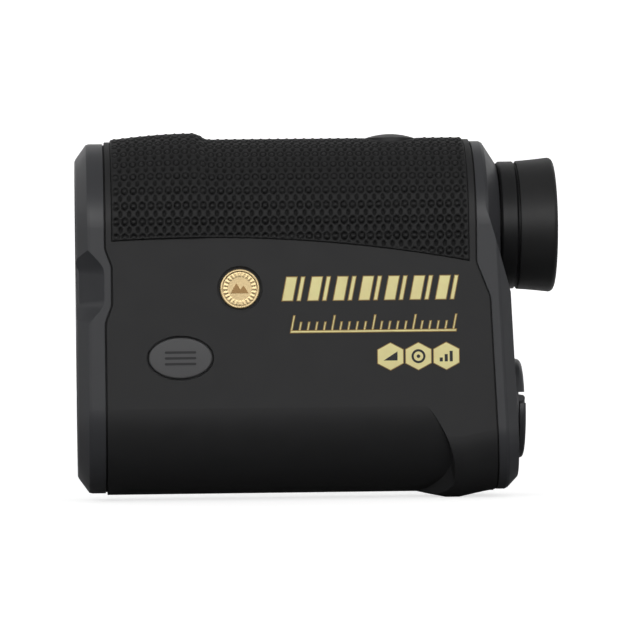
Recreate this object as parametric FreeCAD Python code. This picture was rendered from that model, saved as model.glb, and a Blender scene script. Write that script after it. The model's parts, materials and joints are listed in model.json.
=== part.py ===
"""A pocket laser rangefinder: a six-power monocular above a laser receiver, in one hand-held case.

Frame: X runs along the optical axis, from the objective (-X) to the eyepiece (+X). Z is up and Y is across,
with the mode button on the -Y side. The origin is on the plane that the case stands on, under the centre of the
overall length and width. Lengths are in millimetres, and the X values below count from CENTRE_X.

The case is a slot-shaped tube: two half-rounds, one round the sight axis and one round the lower axis, joined by
flat sides. It is split into a left and a right shell, and closed by a front bezel and a rear bezel.
"""

import FreeCAD, Part
import math
import os

V = FreeCAD.Vector
X_DIR = V(1, 0, 0)
Y_DIR = V(0, 1, 0)
Z_DIR = V(0, 0, 1)
FAR = 90.0  # longer than the case in every direction
CENTRE_X = 4.5  # middle of the overall length, in the X values used below

# --- driving dimensions of the case ---
CASE_R = 17.6  # half-width of the shells, and radius of both rounded ends
SIGHT_Z = 55.0  # sight axis: objective, prisms and eyepiece
LOW_Z = 18.7  # centre of the lower rounded end
WALL = 2.0
FRONT_X = -44.0  # front face
SEAM_GAP = 0.36  # width of the joint that a gasket fills between a bezel and the shells
GASKET_INSET = 0.25  # each gasket's edge lies this far below its bezel's surface
PARTING_GAP = 0.05  # each shell stops this far from the mid-plane

# Where the front bezel meets the shells, as (x, z) going down. The jog follows the finger scoop.
FRONT_SEAM = [(-38.2, FAR), (-38.2, 50.6), (-36.9, 47.2), (-36.9, 39.4), (-38.2, 36.0), (-38.2, 0.0)]
FRONT_SEAM_BEND = 2.6  # radius of the jog's bends
FRONT_CHAMFER_X = 2.6
FRONT_CHAMFER_IN = 3.2
FRONT_INSET = 0.35
EDGE_FACET = 0.3  # a narrow facet that takes the sharpness off the bezels' edges

# Where the rear bezel meets the shells, and the bezel's rear face. Both step back below the eyepiece.
REAR_SLANT = 0.045
REAR_SEAM = [(36.0, FAR), (36.0, 47.3), (38.7, 40.4), (38.7 + 40.4 * REAR_SLANT, 0.0)]
REAR_FACE = [(41.3, FAR), (41.3, 47.5), (43.1, 41.3), (43.1 + 41.3 * REAR_SLANT, 0.0)]
REAR_SEAM_BEND = 3.0
REAR_INSET = 0.45
REAR_BEVEL_X = 3.0  # bevel round the upper rear edge
REAR_BEVEL_IN = 4.5
REAR_CHAMFER = 2.4  # bevel round the lower rear edge
REAR_CORNER_R = 12.5  # lower corners of the rear bezel, which holds the battery
REAR_BOTTOM_Z = 1.5

# --- battery bulge: the squarer lower rear corner of the shells ---
BULGE_HALF = CASE_R
BULGE_TOP_Z = 34.0
FOOT_FRONT_X, FOOT_REAR_X = 30.3, 33.0
# (x, z) of the underside of the bulge: a ramp down to the foot, the flat foot, and a slope up to the rear
BULGE_BOTTOMS = ((20.0, 2.1), (FOOT_FRONT_X, 0.0), (FOOT_REAR_X, 0.0), (36.4, 0.75), (50.0, 3.4))
# (x, z) of the arc that the bulge starts at on each side, and the (y, distance ahead) of its copies inwards
CHEEK_ARC = ((24.6, 20.2), (29.4, 13.2), (32.2, 2.0))
CHEEK_DEPTHS = ((-18.1, 0.0), (-13.0, 0.8), (-0.5, 9.0))
CHEEK_TOE_X = 12.0
CHEEK_FOOT_Z = -3.0
# (x, z) outline of the scoop in each side of the front bezel, at its mouth and at its bottom
SCOOP_OUTSIDE = [(-46.0, 51.2), (-41.5, 51.2), (-37.7, 47.0), (-37.7, 39.3), (-41.8, 35.0), (-46.0, 35.0)]
SCOOP_INSIDE = [(-46.0, 49.0), (-45.0, 49.0), (-43.4, 46.6), (-43.4, 39.6), (-45.0, 35.9), (-46.0, 35.9)]
SCOOP_OUT_Y, SCOOP_OUT_R = -17.8, 3.6
SCOOP_IN_Y, SCOOP_IN_R = -13.2, 2.2

# --- optics and tubes ---
OBJECTIVE_R = 11.1
CELL_R = 12.6
RECEIVER_Z = 21.5
RECEIVER_R = 12.0
RECEIVER_TUBE_R = 13.3
EYE_TUBE_R = 11.3
OCULAR_R = 10.05
RUNNING = 0.05  # radial clearance of a sliding or turning fit
FIT = 0.1  # clearance between parts that are pressed, glued or screwed together
TOUCH = 0.02  # gap between faces that rest on each other
RIM_TOL = 0.01  # picks out edges that lie in one plane

# --- how far the ends of the case are worked from ---
FRONT_INNER_X = -30.0  # inside end of everything in the front bezel
REAR_INNER_X = 30.0  # inside end of everything in the rear bezel
REAR_OUTER_X = 50.0  # beyond the rear bezel

# --- openings and fixings of the case ---
BEZEL_SCREW_R = 0.85  # pilot holes
STANDOFF_R = 2.2
FRONT_OPEN_R = {SIGHT_Z: 11.4, RECEIVER_Z: 12.3}
FRONT_STEP = 2.4  # thickness of the bezel's lip in front of the two tubes
FRONT_CONE = 1.2  # depth of the bevel round each opening
FRONT_CONE_OUT = 1.5
FRONT_PILOT_X = -41.8
REAR_PILOT_X = 38.5
REAR_STANDOFF_X = 42.0
CAP_BOSS_R = 12.4
CAP_BOSS_X = 37.6
EYE_RECESS_R = 13.3
SHELL_SCREW_R = 1.1
SHELL_HEAD_R = 1.9
SHELL_PILOT_R = 1.0
SHELL_PILOT_Y = -6.5
BOSS_SKIN = 0.8  # the bosses stop this far inside the shells' surface
LANYARD_X, LANYARD_Z = 23.5, 32.0
LANYARD_POCKET = (19.5, 27.5, 12.5, 20.0, 28.5, 35.5)
LANYARD_WALL = 1.2
LANYARD_PIN_R, LANYARD_PIN_Y = 0.9, 15.6
LANYARD_PIN_HALF = 4.5
BADGE_RECESS = 0.9
BADGE_EDGE_R = 0.25
PAD_HOLE_GAP = 0.5
PAD_END_GAP = 0.08
# (x, height) of the finger rest's crown; its sides rise by PAD_SIDE_SHARE of that
PAD_RISE = [(-38.0, 0.4), (-36.0, 0.6), (-30.6, 0.97), (-24.5, 1.22), (-20.0, 1.28), (-16.7, 0.0), (36.0, 0.0)]
PAD_SIDE_SHARE = 0.35

# --- focusing: the ring turns, and its slots drive two pins that slide the ocular cell ---
FOCUS_LEAD = 8.0  # travel per full turn
FOCUS_HALF_ANGLE = 60.0
FOCUS_PIN_X = 44.3
FOCUS_PIN_R = 0.8
RING_X0, RING_X1, RING_R = 41.6, 45.2, 12.95
EYE_END_X = 53.0  # rear end of the eyecup

# --- battery: one CR2 cell, held by a part-turn cap ---
CELL_Z = 17.5
BATTERY_R = 7.8
BATTERY_LENGTH = 27.0
BATTERY_BACK_X = 42.0
CAP_SEAT_X = 43.0
CAP_FLANGE_R = 10.3
CAP_SPIGOT_R = 9.5
CAP_OUT_X = 46.2
CAP_LUG_X = 40.6
CAP_LUG_R = 0.9
CAP_LUG_IN, CAP_LUG_OUT = 9.0, 10.35  # radii that the lugs span
CAP_SLOT_OUT = 10.5
CAP_LUG_GAP = 0.15
CAP_RIM_GAP = 0.3
CAP_TURN = 120.0
CAP_TRAVEL = 3.5
CAP_STEP_X = 44.9  # the lower half of the cap's face is cut back to here, and the tab lies on it
CAP_STEP_Z = 21.1
TAB_R = 9.85
TAB_HINGE_X = 45.62
TAB_HINGE_Z = 19.9
TAB_HALF = 7.1  # half-length of the tab's hinge, between two ears on the cap
EAR_LENGTH = 1.7
KNUCKLE_R = 0.65
TAB_BACK_X, TAB_FRONT_X = 45.1, 46.4
TAB_SHOULDER_Z = TAB_HINGE_Z - KNUCKLE_R - 0.35  # beside the ears the tab stops below them

# --- controls ---
MODE_X, MODE_Z = -23.4, 28.8
MODE_HALF_LENGTH, MODE_HALF_HEIGHT = 6.3, 4.05
MODE_GAP = 0.4
MODE_PROUD = 0.5
MODE_DOME_R = 70.0
POWER_X = 20.0
POWER_R = 5.0
POWER_TOP_Z = 73.75
POWER_GAP = 0.35

# --- grip pad: a textured rubber saddle in a shallow recess ---
PAD_DEPTH = 0.6
PAD_PROUD = 0.35
PAD_EDGE = [(-36.9, 52.2), (1.0, 52.0), (34.6, 47.6)]  # its lower edge is an arc through these (x, z)

BADGE_X, BADGE_Z, BADGE_R = -11.4, 42.5, 4.0

# --- internal frame and boards ---
SHELF_Z0, SHELF_Z1 = 39.0, 40.4
FRONT_BULKHEAD = (-36.6, -35.3)
REAR_BULKHEAD = (31.0, 32.3)
BOARD_Y0, BOARD_Y1 = -13.4, -12.4

SHELL_SCREWS = [(-28.0, 5.8, 8.5), (22.0, 5.8, 8.5), (-14.0, 66.9, 7.6), (28.4, 66.9, 7.6)]  # x, z, seat y
BOSS_R = 2.1
FRONT_SCREWS = [(11.5, 36.4), (-11.5, 36.4)]  # y, z
REAR_SCREWS = [(11.0, 36.0), (-11.0, 36.0)]

# --- screws: head radius, head height, shank radius ---
SHELL_SCREW = (1.7, 1.3, 0.95)
BEZEL_SCREW = (1.6, 1.1, 0.8)
SHELL_SCREW_REACH = 5.5  # beyond the mid-plane
FRONT_SCREW_LENGTH, REAR_SCREW_LENGTH = 6.0, 6.5
CROSS_LENGTH, CROSS_WIDTH, CROSS_DEPTH = 1.6, 0.45, 0.7
CLEAR_SCREW_R = 0.9

# --- chassis ---
SHELF_HALF = 13.2
BATTERY_HOLE_R = 9.3
CHEEK_X = (-25.0, -10.0)
CHEEK_YS = (-8.4, 7.2)
CHEEK_THICK, CHEEK_TOP_Z = 1.2, 62.5
TAB_XS = (-27.5, 8.0)
TAB_WIDTH, TAB_THICK, TAB_LOW_Z = 4.5, 1.3, 33.6
RIBBON_SLOT = (21.2, 24.6, -14.0, -11.8, 38.0, 42.0)

# --- objective ---
CELL_X = (-41.5, -25.6)
CELL_STOP_X, CELL_STOP_R = (-34.4, -32.8), 9.9
SEAL_GROOVE_X = (-40.2, -39.1)
SEAL_X, SEAL_CORD_R = -39.65, 0.4
CELL_GROOVE_R, CELL_SEAL_R = 11.78, 12.2
CROWN_LENS = (-40.3, -36.4, 1.5, -1.3)  # vertices and sags
FLINT_LENS = (-36.4, -34.4, -1.3, 0.0)
OBJECTIVE_RING_X, OBJECTIVE_RING_R = (-41.4, -38.85), 10.3

# --- laser ---
LASER_X = -17.4
MIRROR_HALF_LENGTH, MIRROR_HALF_WIDTH, MIRROR_HALF_THICK = 9.6, 7.1, 0.5
MIRROR_TILT = 45
DIODE_BASE_R, DIODE_CAN_R, DIODE_WINDOW_R = 3.0, 2.4, 0.9
DIODE_BASE_Z, DIODE_CAN_Z, DIODE_TOP_Z, DIODE_WINDOW_Z = 41.4, 42.2, 45.2, 44.8
LASER_BOARD_HALF = (7.0, 6.6)
LASER_BOARD_TOP_Z = 41.35

# --- prisms, as (x, height over the sight axis) ---
FRONT_PRISM = [(-8.0, 8.1), (-8.0, -8.0), (3.5, -12.76), (9.3, -9.2)]
ROOF_PRISM = [(10.0, -9.5), (10.0, 10.5), (-4.1, 4.6)]
PRISM_HALF_WIDTH = 8.0
ROOF_WEDGE, ROOF_OVERRUN = 12.0, 5.0
HOLDER_X, HOLDER_HALF, HOLDER_TOP_Z = (-9.6, 12.0), 9.9, 66.6
HOLDER_LIGHT_R = 7.6
COVER_X, COVER_Z, COVER_OUT_Y = (-8.6, 11.0), (41.4, 65.6), 9.3

# --- display ---
DISPLAY_X, DISPLAY_HALF, DISPLAY_TOP_Z = (21.4, 24.2), 7.5, 65.38
DISPLAY_WINDOW, DISPLAY_SEAT = 5.4, 6.5  # half-sizes
DISPLAY_SEAT_X, DISPLAY_GLASS_THICK = 22.2, 1.1
RIBBON_X, RIBBON_WIDTH = 21.6, 2.4
RIBBON_PATH = [(-7.55, 58.0), (-7.8, 58.0), (-7.8, 43.2), (-12.36, 41.2), (-12.36, 32.0), (-12.1, 32.0),
               (-12.1, 41.05), (-7.55, 43.05)]  # y, z

# --- receiver ---
RECEIVER_X, RECEIVER_CONE_X, RECEIVER_NECK_X, RECEIVER_END_X = -41.5, -34.0, -8.0, -4.5
RECEIVER_NECK_R = 6.4
RECEIVER_SEAT_X, RECEIVER_SHOULDER_X, RECEIVER_BORE_X = -37.0, -34.5, -10.0
RECEIVER_SHOULDER_R, RECEIVER_FUNNEL_R = 11.0, 4.2
RECEIVER_GROOVE_R, RECEIVER_SEAL_R = 12.48, 12.9
RECEIVER_LENS = (-41.0, -37.0, 1.9, 0.0)
RECEIVER_RING_X, RECEIVER_RING_R = (-41.4, -38.6), 11.2
DETECTOR_BASE_R, DETECTOR_BASE_X, DETECTOR_CAN_R, DETECTOR_CAN_X = 4.6, (-5.5, -4.5), 4.0, -8.6
DETECTOR_BOARD_X, DETECTOR_BOARD_HALF = (-4.45, -3.45), 8.0

# --- boards: chips are (x0, x1, z0, z1, height) ---
BOARD_X, BOARD_Z = (-30.0, 27.0), (12.2, 37.0)
BOARD_HOLES, BOARD_HOLE_Z, BOARD_HOLE_R = (-25.25, 10.25), 35.0, 1.05
OUTER_CHIPS = [(-11, -3, 18, 26, 1.1), (0, 4, 17, 21, 0.9), (7, 12, 24, 29, 1.0), (16, 20, 16, 19, 0.8)]
INNER_CHIPS = [(21.2, 24.6, 28.5, 31.8, 1.1), (14.0, 20.0, 31.0, 35.0, 1.2)]
CAPACITOR_R, CAPACITOR_X, CAPACITOR_YZ = 3.2, (0.5, 11.0), (-2.5, 10.6)
CAN_X, CAN_IN_Y, CAN_Z, CAN_THICK = (-1.0, 11.5), -7.6, (15.0, 31.0), 0.3
LEAD_R = 0.55
LEAD_PATHS = [
    [(12.2, -1.5, 19.0), (9.5, -4.5, 33.0), (2.0, -11.6, 33.5)],
    [(12.2, -4.5, 14.0), (12.0, -9.6, 12.6), (14.8, -11.6, 14.6)],
]

# --- buttons and their switches ---
BUTTON_EDGE_R = 0.3
MODE_BACK_Y, MODE_FLANGE_Y, MODE_FLANGE = -15.0, -15.55, 1.3
MODE_SWITCH_HALF, MODE_SWITCH_Y, MODE_SWITCH_BORE_R = 2.6, -14.3, 1.6
MODE_PLUNGER_R, MODE_PLUNGER_Y = 1.5, (-14.95, -14.05)
POWER_DOME_R, POWER_BACK_Z, POWER_FLANGE_Z, POWER_FLANGE_R = 15.0, 68.6, 69.3, 5.9
BUTTON_BOARD_X, BUTTON_BOARD_HALF, BUTTON_BOARD_Z = (15.0, 26.0), 6.0, (65.4, 66.2)
POWER_SWITCH_HALF, POWER_SWITCH_TOP_Z, POWER_SWITCH_BORE_R = 3.0, 67.8, 1.7
POWER_PLUNGER_R, POWER_PLUNGER_Z = 1.6, (66.95, 68.55)

# --- eyepiece ---
EYE_TUBE_X, EYE_COLLAR_X, EYE_COLLAR_R = (30.9, 47.2), (37.7, 39.25), 13.0
GUIDE_SLOT_X, GUIDE_SLOT_Y, GUIDE_SLOT_HALF = (42.0, 46.6), (5.5, 12.5), 0.95
OCULAR_X, OCULAR_BORE_R = (34.0, 49.0), 9.2
OCULAR_LIP_X, OCULAR_LIP_R = (48.7, 50.2), 11.15
OCULAR_SPACER_X, OCULAR_SPACER_R = (40.4, 45.3), 8.4
OCULAR_GROOVE_X, OCULAR_GROOVE_R = (37.6, 38.5), 9.65
OCULAR_SEAL_X, OCULAR_SEAL_R, OCULAR_SEAL_CORD_R = 38.05, 9.88, 0.2
EYE_LENS_R = 9.1
FIELD_LENS = (36.5, 40.35, 1.0, 0.0)
EYE_LENS = (45.0, 49.3, 1.1, -1.2)
EYE_RING_X, EYE_RING_R = (47.4, 50.2), (9.15, 8.3)
FOCUS_PIN_IN, FOCUS_PIN_OUT = 9.3, 11.85  # radii that each pin spans
RING_CHAMFER = 0.4
SLEEVE_R, SLEEVE_END = 12.3, 2.4
CAM_SLOT_R, CAM_SLOT_IN, CAM_SLOT_OUT = 1.0, 11.0, 12.0
CAM_MARGIN = 2.0  # degrees of slot beyond each end of the turn
CUP_INNER_R, CUP_LIP_R, CUP_FOOT_R, CUP_RIM_R = 12.32, 11.55, 13.05, 13.65
CUP_GAP, CUP_RIM_ROUND, CUP_LIP_ROUND, CUP_LIP_DEPTH = 0.3, 1.0, 0.5, 2.35

# --- battery bay ---
BAY_R, BAY_X, BAY_FLOOR_X = 9.2, (13.3, 39.0), 14.5
BAY_HOLE_R = 0.8
CELL_EDGE_R, CELL_SHOULDER, CELL_POLE_R, CELL_POLE = 0.6, 1.3, 3.2, 1.4
PLUS_DISC_R, PLUS_STEM_R, PLUS_THICK, PLUS_END_X = 6.0, 0.75, 0.43, 12.3
CAP_EDGE_R, CAP_SPIGOT_X = 1.1, 39.2
CAP_HOLLOW_R, CAP_HOLLOW_X = 8.1, 44.0
CAP_GROOVE_X, CAP_GROOVE_R = (41.8, 42.8), 8.72
CAP_SEAL_X, CAP_SEAL_R, CAP_SEAL_CORD_R = 42.3, 9.13, 0.38
TAB_EDGE_R = 0.6
TAB_PIN_R, TAB_PIN_HOLE_R, TAB_LOOSE_HOLE_R = 0.35, 0.36, 0.42
THUMB_R, THUMB_HALF, THUMB_OUT, THUMB_DROP = 1.7, 3.2, 1.15, 7.4
MINUS_DISC_R, MINUS_DISC_X = 5.8, (42.05, 42.4)
MINUS_COILS = ((42.72, 5.0), (43.1, 4.2), (43.48, 3.4))  # x, radius
MINUS_WIRE_R, MINUS_RISER_X, MINUS_RISER_Y = 0.27, (42.35, 43.7), (3.2, 5.2)


# --- helpers ---
def box(x0, x1, y0, y1, z0, z1):
    return Part.makeBox(x1 - x0, y1 - y0, z1 - z0, V(x0, y0, z0))


def cyl_x(r, x0, x1, y=0.0, z=SIGHT_Z):
    return Part.makeCylinder(r, x1 - x0, V(x0, y, z), X_DIR)


def cyl_y(r, y0, y1, x, z):
    return Part.makeCylinder(r, y1 - y0, V(x, y0, z), Y_DIR)


def cyl_z(r, z0, z1, x, y=0.0):
    return Part.makeCylinder(r, z1 - z0, V(x, y, z0), Z_DIR)


def tube_x(outer, inner, x0, x1, z=SIGHT_Z):
    return cyl_x(outer, x0, x1, 0, z).cut(cyl_x(inner, x0 - 1, x1 + 1, 0, z))


def fuse(shapes):
    return shapes[0].multiFuse(shapes[1:]).removeSplitter()


def ring_torus(r, minor, x, z):
    return Part.makeTorus(r, minor, V(x, 0, z), X_DIR)


def slab_xz(points, half_width=FAR):
    """A polygon of (x, z) points, extruded across the whole width."""
    corners = [V(x, -half_width, z) for x, z in points]
    return Part.Face(Part.makePolygon(corners + corners[:1])).extrude(V(0, 2 * half_width, 0))


def rounded_wire(points, y, bends):
    """A closed outline of (x, z) points at y. Corners named in bends (index to radius) are rounded."""
    corners = [V(x, y, z) for x, z in points]
    edges, start = [], corners[0]
    for i in range(1, len(corners) + 1):
        corner = corners[i % len(corners)]
        radius = bends.get(i % len(corners), 0.0)
        if not radius:
            edges.append(Part.makeLine(start, corner))
            start = corner
            continue
        back = (corners[i - 1] - corner).normalize()
        ahead = (corners[(i + 1) % len(corners)] - corner).normalize()
        half_turn = back.getAngle(ahead) / 2
        reach = radius / math.tan(half_turn)
        middle = (back + ahead).normalize() * (radius / math.sin(half_turn) - radius)
        edges.append(Part.makeLine(start, corner + back * reach))
        edges.append(Part.Arc(corner + back * reach, corner + middle, corner + ahead * reach).toShape())
        start = corner + ahead * reach
    return Part.Wire(edges)


def ahead_of(line, shift=0.0, bend=0.0):
    """Everything on the -X side of a line of (x, z) points going down, moved by shift along X.
    With bend, the line's corners are rounded to that radius."""
    bottom_x = line[-1][0]
    edge = [(x + shift, z) for x, z in line] + [(bottom_x + shift, -FAR)]
    outline = edge + [(-FAR, -FAR), (-FAR, FAR)]
    if not bend:
        return slab_xz(outline)
    bends = {i: bend for i in range(1, len(line) - 1)}
    return Part.Face(rounded_wire(outline, -FAR, bends)).extrude(V(0, 2 * FAR, 0))


def front_of_seam(shift):
    return ahead_of(FRONT_SEAM, shift, FRONT_SEAM_BEND)


def front_of_rear_seam(shift):
    return ahead_of(REAR_SEAM, shift, REAR_SEAM_BEND)


def slot_wire(x, inset):
    """Outline of the case at x: two half-rounds joined by flat sides, inset from the shells' surface."""
    r = CASE_R - inset
    top = Part.Arc(V(x, -r, SIGHT_Z), V(x, 0, SIGHT_Z + r), V(x, r, SIGHT_Z)).toShape()
    right = Part.makeLine(V(x, r, SIGHT_Z), V(x, r, LOW_Z))
    low = Part.Arc(V(x, r, LOW_Z), V(x, 0, LOW_Z - r), V(x, -r, LOW_Z)).toShape()
    left = Part.makeLine(V(x, -r, LOW_Z), V(x, -r, SIGHT_Z))
    return Part.Wire([top, right, low, left])


def slot_prism(x0, x1, inset):
    return Part.Face(slot_wire(x0, inset)).extrude(V(x1 - x0, 0, 0))


def boxy_wire(x, half, bottom, corner, top=None):
    """A tub outline with round lower corners, closed by a half-round at the sight axis or flat at height top."""
    def at(y, z):
        return V(x, y, z)

    low, flat, mid = bottom + corner, half - corner, corner * math.sqrt(0.5)
    upper = SIGHT_Z if top is None else top
    edges = [
        Part.makeLine(at(half, upper), at(half, low)),
        Part.Arc(at(half, low), at(flat + mid, low - mid), at(flat, bottom)).toShape(),
        Part.makeLine(at(flat, bottom), at(-flat, bottom)),
        Part.Arc(at(-flat, bottom), at(-flat - mid, low - mid), at(-half, low)).toShape(),
        Part.makeLine(at(-half, low), at(-half, upper)),
    ]
    if top is None:
        edges.append(Part.Arc(at(-half, upper), at(0, upper + half), at(half, upper)).toShape())
    else:
        edges.append(Part.makeLine(at(-half, upper), at(half, upper)))
    return Part.Wire(edges)


def rear_wire(x, inset):
    half = CASE_R - REAR_INSET - inset
    return boxy_wire(x, half, REAR_BOTTOM_Z + inset, REAR_CORNER_R - inset)


def rear_prism(x0, x1, inset):
    return Part.Face(rear_wire(x0, inset)).extrude(V(x1 - x0, 0, 0))


def ellipse_y(a, b, y0, y1, x, z):
    """An elliptical bar along Y."""
    curve = Part.Ellipse(V(x + a, y0, z), V(x, y0, z + b), V(x, y0, z))
    return Part.Face(Part.Wire([curve.toShape()])).extrude(V(0, y1 - y0, 0))


def lens(x0, x1, sag0, sag1, r, z=SIGHT_Z):
    """A round lens of edge radius r. x0 and x1 are its vertices, and each sag is the rim's x from its vertex."""
    def face(x, sag):
        if abs(sag) < 1e-6:
            return Part.makeLine(V(x, 0, z), V(x, r, z))
        bend = (r * r + sag * sag) / (2 * sag)
        half_sag = bend - math.copysign(math.sqrt(bend * bend - r * r / 4), bend)
        return Part.Arc(V(x, 0, z), V(x + half_sag, r / 2, z), V(x + sag, r, z)).toShape()

    front, back = face(x0, sag0), face(x1, sag1)
    rim = Part.makeLine(V(x0 + sag0, r, z), V(x1 + sag1, r, z))
    axis = Part.makeLine(V(x1, 0, z), V(x0, 0, z))
    profile = Part.Face(Part.Wire(Part.__sortEdges__([front, rim, back, axis])))
    return profile.revolve(V(0, 0, z), X_DIR, 360)


def radial_pin(r, inner, outer, x, angle, z):
    """A pin pointing out from the axis at height z, at an angle in degrees from +Y about X."""
    a = math.radians(angle)
    out = V(0, math.cos(a), math.sin(a))
    return Part.makeCylinder(r, outer - inner, V(x, 0, z) + out * inner, out)


def helical_slots(r, inner, outer, x, z, starts, sweep, travel, step=5.0):
    """Two or more cam slots, each the path of a pin that turns through sweep degrees and moves by travel."""
    count = round(abs(sweep) / step)
    pins = []
    for start in starts:
        for i in range(count + 1):
            share = i / count
            pins.append(radial_pin(r, inner, outer, x + travel * share, start + sweep * share, z))
    return fuse(pins)


def screw(base, out, head_r, head_h, shank_r, length):
    """A cross-recess screw. base is under its head, and out points from the shank to the head."""
    head = Part.makeCylinder(head_r, head_h, base, out)
    shank = Part.makeCylinder(shank_r, length, base, out * -1)
    body = fuse([head, shank])
    side = Y_DIR if abs(out.x) > 0.5 else X_DIR
    up = out.cross(side)
    for a, b in ((side, up), (up, side)):
        slot = Part.makeBox(CROSS_LENGTH, CROSS_WIDTH, CROSS_DEPTH + 1)
        slot.translate(V(-CROSS_LENGTH / 2, -CROSS_WIDTH / 2, head_h - CROSS_DEPTH))
        slot.Placement = FreeCAD.Placement(base, FreeCAD.Rotation(a, b, out, "ZXY")) * slot.Placement
        body = body.cut(slot)
    return body


# --- case ---
def bulge_cheek():
    """What is cut off one side of the bulge, so that it starts at a crisp arc instead of a ramp."""
    wires = []
    for y, ahead in CHEEK_DEPTHS:
        top, mid, low = [V(x - ahead, y, z) for x, z in CHEEK_ARC]
        foot, toe, head = V(low.x, y, CHEEK_FOOT_Z), V(CHEEK_TOE_X, y, CHEEK_FOOT_Z), V(CHEEK_TOE_X, y, top.z)
        edges = [Part.Arc(top, mid, low).toShape(), Part.makeLine(low, foot)]
        edges += [Part.makeLine(foot, toe), Part.makeLine(toe, head), Part.makeLine(head, top)]
        wires.append(Part.Wire(edges))
    return Part.makeLoft(wires, True, True)


def battery_bulge():
    """The squarer lower rear corner of the case, which swells out over the battery and makes a foot."""
    sections = [boxy_wire(x, BULGE_HALF, bottom, REAR_CORNER_R, BULGE_TOP_Z) for x, bottom in BULGE_BOTTOMS]
    cheek = bulge_cheek()
    return Part.makeLoft(sections, True, True).cut(cheek).cut(cheek.mirror(V(0, 0, 0), Y_DIR))


def between_seams():
    return front_of_rear_seam(-SEAM_GAP / 2).cut(front_of_seam(SEAM_GAP / 2))


def pad_region(grow=0.0):
    """The space above the pad's lower edge, between its two ends."""
    (x0, z0), (x1, z1), (x2, z2) = PAD_EDGE
    x0, x2 = x0 - grow, x2 + grow
    z0, z1, z2 = z0 - grow, z1 - grow, z2 - grow
    arc = Part.Arc(V(x0, -FAR, z0), V(x1, -FAR, z1), V(x2, -FAR, z2)).toShape()
    rest = Part.makePolygon([V(x2, -FAR, z2), V(x2, -FAR, FAR), V(x0, -FAR, FAR), V(x0, -FAR, z0)])
    return Part.Face(Part.Wire([arc] + rest.Edges)).extrude(V(0, 2 * FAR, 0))


def case_body():
    """Both shells in one piece, before they are parted."""
    outer = fuse([slot_prism(-FAR, FAR, 0), battery_bulge()])
    body = outer.common(between_seams())
    body = body.cut(slot_prism(-FAR, FAR, WALL))
    core = slot_prism(-FAR, FAR, BOSS_SKIN)
    bosses = [cyl_y(BOSS_R, -CASE_R, CASE_R, x, z).common(core) for x, z, seat in SHELL_SCREWS]
    x0, x1, y0, y1, z0, z1 = LANYARD_POCKET
    wall = LANYARD_WALL
    lanyard_box = box(x0 - wall, x1 + wall, y0 - wall, CASE_R - WALL + FIT, z0 - wall, z1 + wall)
    body = fuse([body] + bosses + [lanyard_box])
    body = body.cut(pad_region().cut(slot_prism(-FAR, FAR, PAD_DEPTH)))
    half_length, half_height = MODE_HALF_LENGTH + MODE_GAP, MODE_HALF_HEIGHT + MODE_GAP
    body = body.cut(ellipse_y(half_length, half_height, -FAR, -WALL, MODE_X, MODE_Z))
    body = body.cut(cyl_y(BADGE_R + BADGE_EDGE_R * 2, -CASE_R - 1, -CASE_R + BADGE_RECESS, BADGE_X, BADGE_Z))
    body = body.cut(cyl_z(POWER_R + POWER_GAP, SIGHT_Z, FAR, POWER_X))
    body = body.cut(box(*LANYARD_POCKET))
    body = body.cut(lanyard_pin())
    for x, z, seat in SHELL_SCREWS:
        body = body.cut(cyl_y(SHELL_SCREW_R, -PARTING_GAP, FAR, x, z))
        body = body.cut(cyl_y(SHELL_HEAD_R, seat, FAR, x, z))
        body = body.cut(cyl_y(SHELL_PILOT_R, SHELL_PILOT_Y, 0, x, z))
    return body


def shells():
    body = case_body()
    left = body.common(box(-FAR, FAR, -FAR, -PARTING_GAP, -FAR, FAR))
    right = body.common(box(-FAR, FAR, PARTING_GAP, FAR, -FAR, FAR))
    return left, right


def finger_scoop():
    """The ramp cut into one side of the front bezel's waist."""
    wires = []
    ends = ((SCOOP_OUT_Y, SCOOP_OUT_R, SCOOP_OUTSIDE), (SCOOP_IN_Y, SCOOP_IN_R, SCOOP_INSIDE))
    for y, corner_r, line in ends:
        wires.append(rounded_wire(line, y, {2: corner_r, 3: corner_r}))
    return Part.makeLoft(wires, True, True)


def front_bezel():
    shoulder_x = FRONT_X + FRONT_CHAMFER_X
    steps = [
        (FRONT_X, FRONT_CHAMFER_IN + EDGE_FACET),
        (FRONT_X + EDGE_FACET, FRONT_CHAMFER_IN - EDGE_FACET),
        (shoulder_x - EDGE_FACET, EDGE_FACET / 2),
        (shoulder_x + EDGE_FACET, 0.0),
    ]
    nose = Part.makeLoft([slot_wire(x, FRONT_INSET + inset) for x, inset in steps], True, True)
    blank = fuse([nose, slot_prism(shoulder_x + EDGE_FACET, FRONT_INNER_X, FRONT_INSET)])
    blank = blank.common(front_of_seam(-SEAM_GAP / 2))
    span = (FRONT_X + FRONT_STEP, FRONT_BULKHEAD[0] - RUNNING)
    standoffs = [cyl_x(STANDOFF_R, *span, y, z) for y, z in FRONT_SCREWS]
    blank = fuse([blank] + standoffs)
    scoop = finger_scoop()
    blank = blank.cut(scoop).cut(scoop.mirror(V(0, 0, 0), Y_DIR))
    for z, tube_r in ((SIGHT_Z, CELL_R), (RECEIVER_Z, RECEIVER_TUBE_R)):
        open_r = FRONT_OPEN_R[z]
        blank = blank.cut(cyl_x(open_r, FRONT_X - 1, FRONT_INNER_X, 0, z))
        blank = blank.cut(cyl_x(tube_r + RUNNING, FRONT_X + FRONT_STEP, FRONT_INNER_X, 0, z))
        cone = Part.makeCone(open_r + FRONT_CONE_OUT, open_r, FRONT_CONE, V(FRONT_X, 0, z), X_DIR)
        blank = blank.cut(cone)
    for y, z in FRONT_SCREWS:
        blank = blank.cut(cyl_x(BEZEL_SCREW_R, FRONT_PILOT_X, FRONT_INNER_X, y, z))
    return blank


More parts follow.
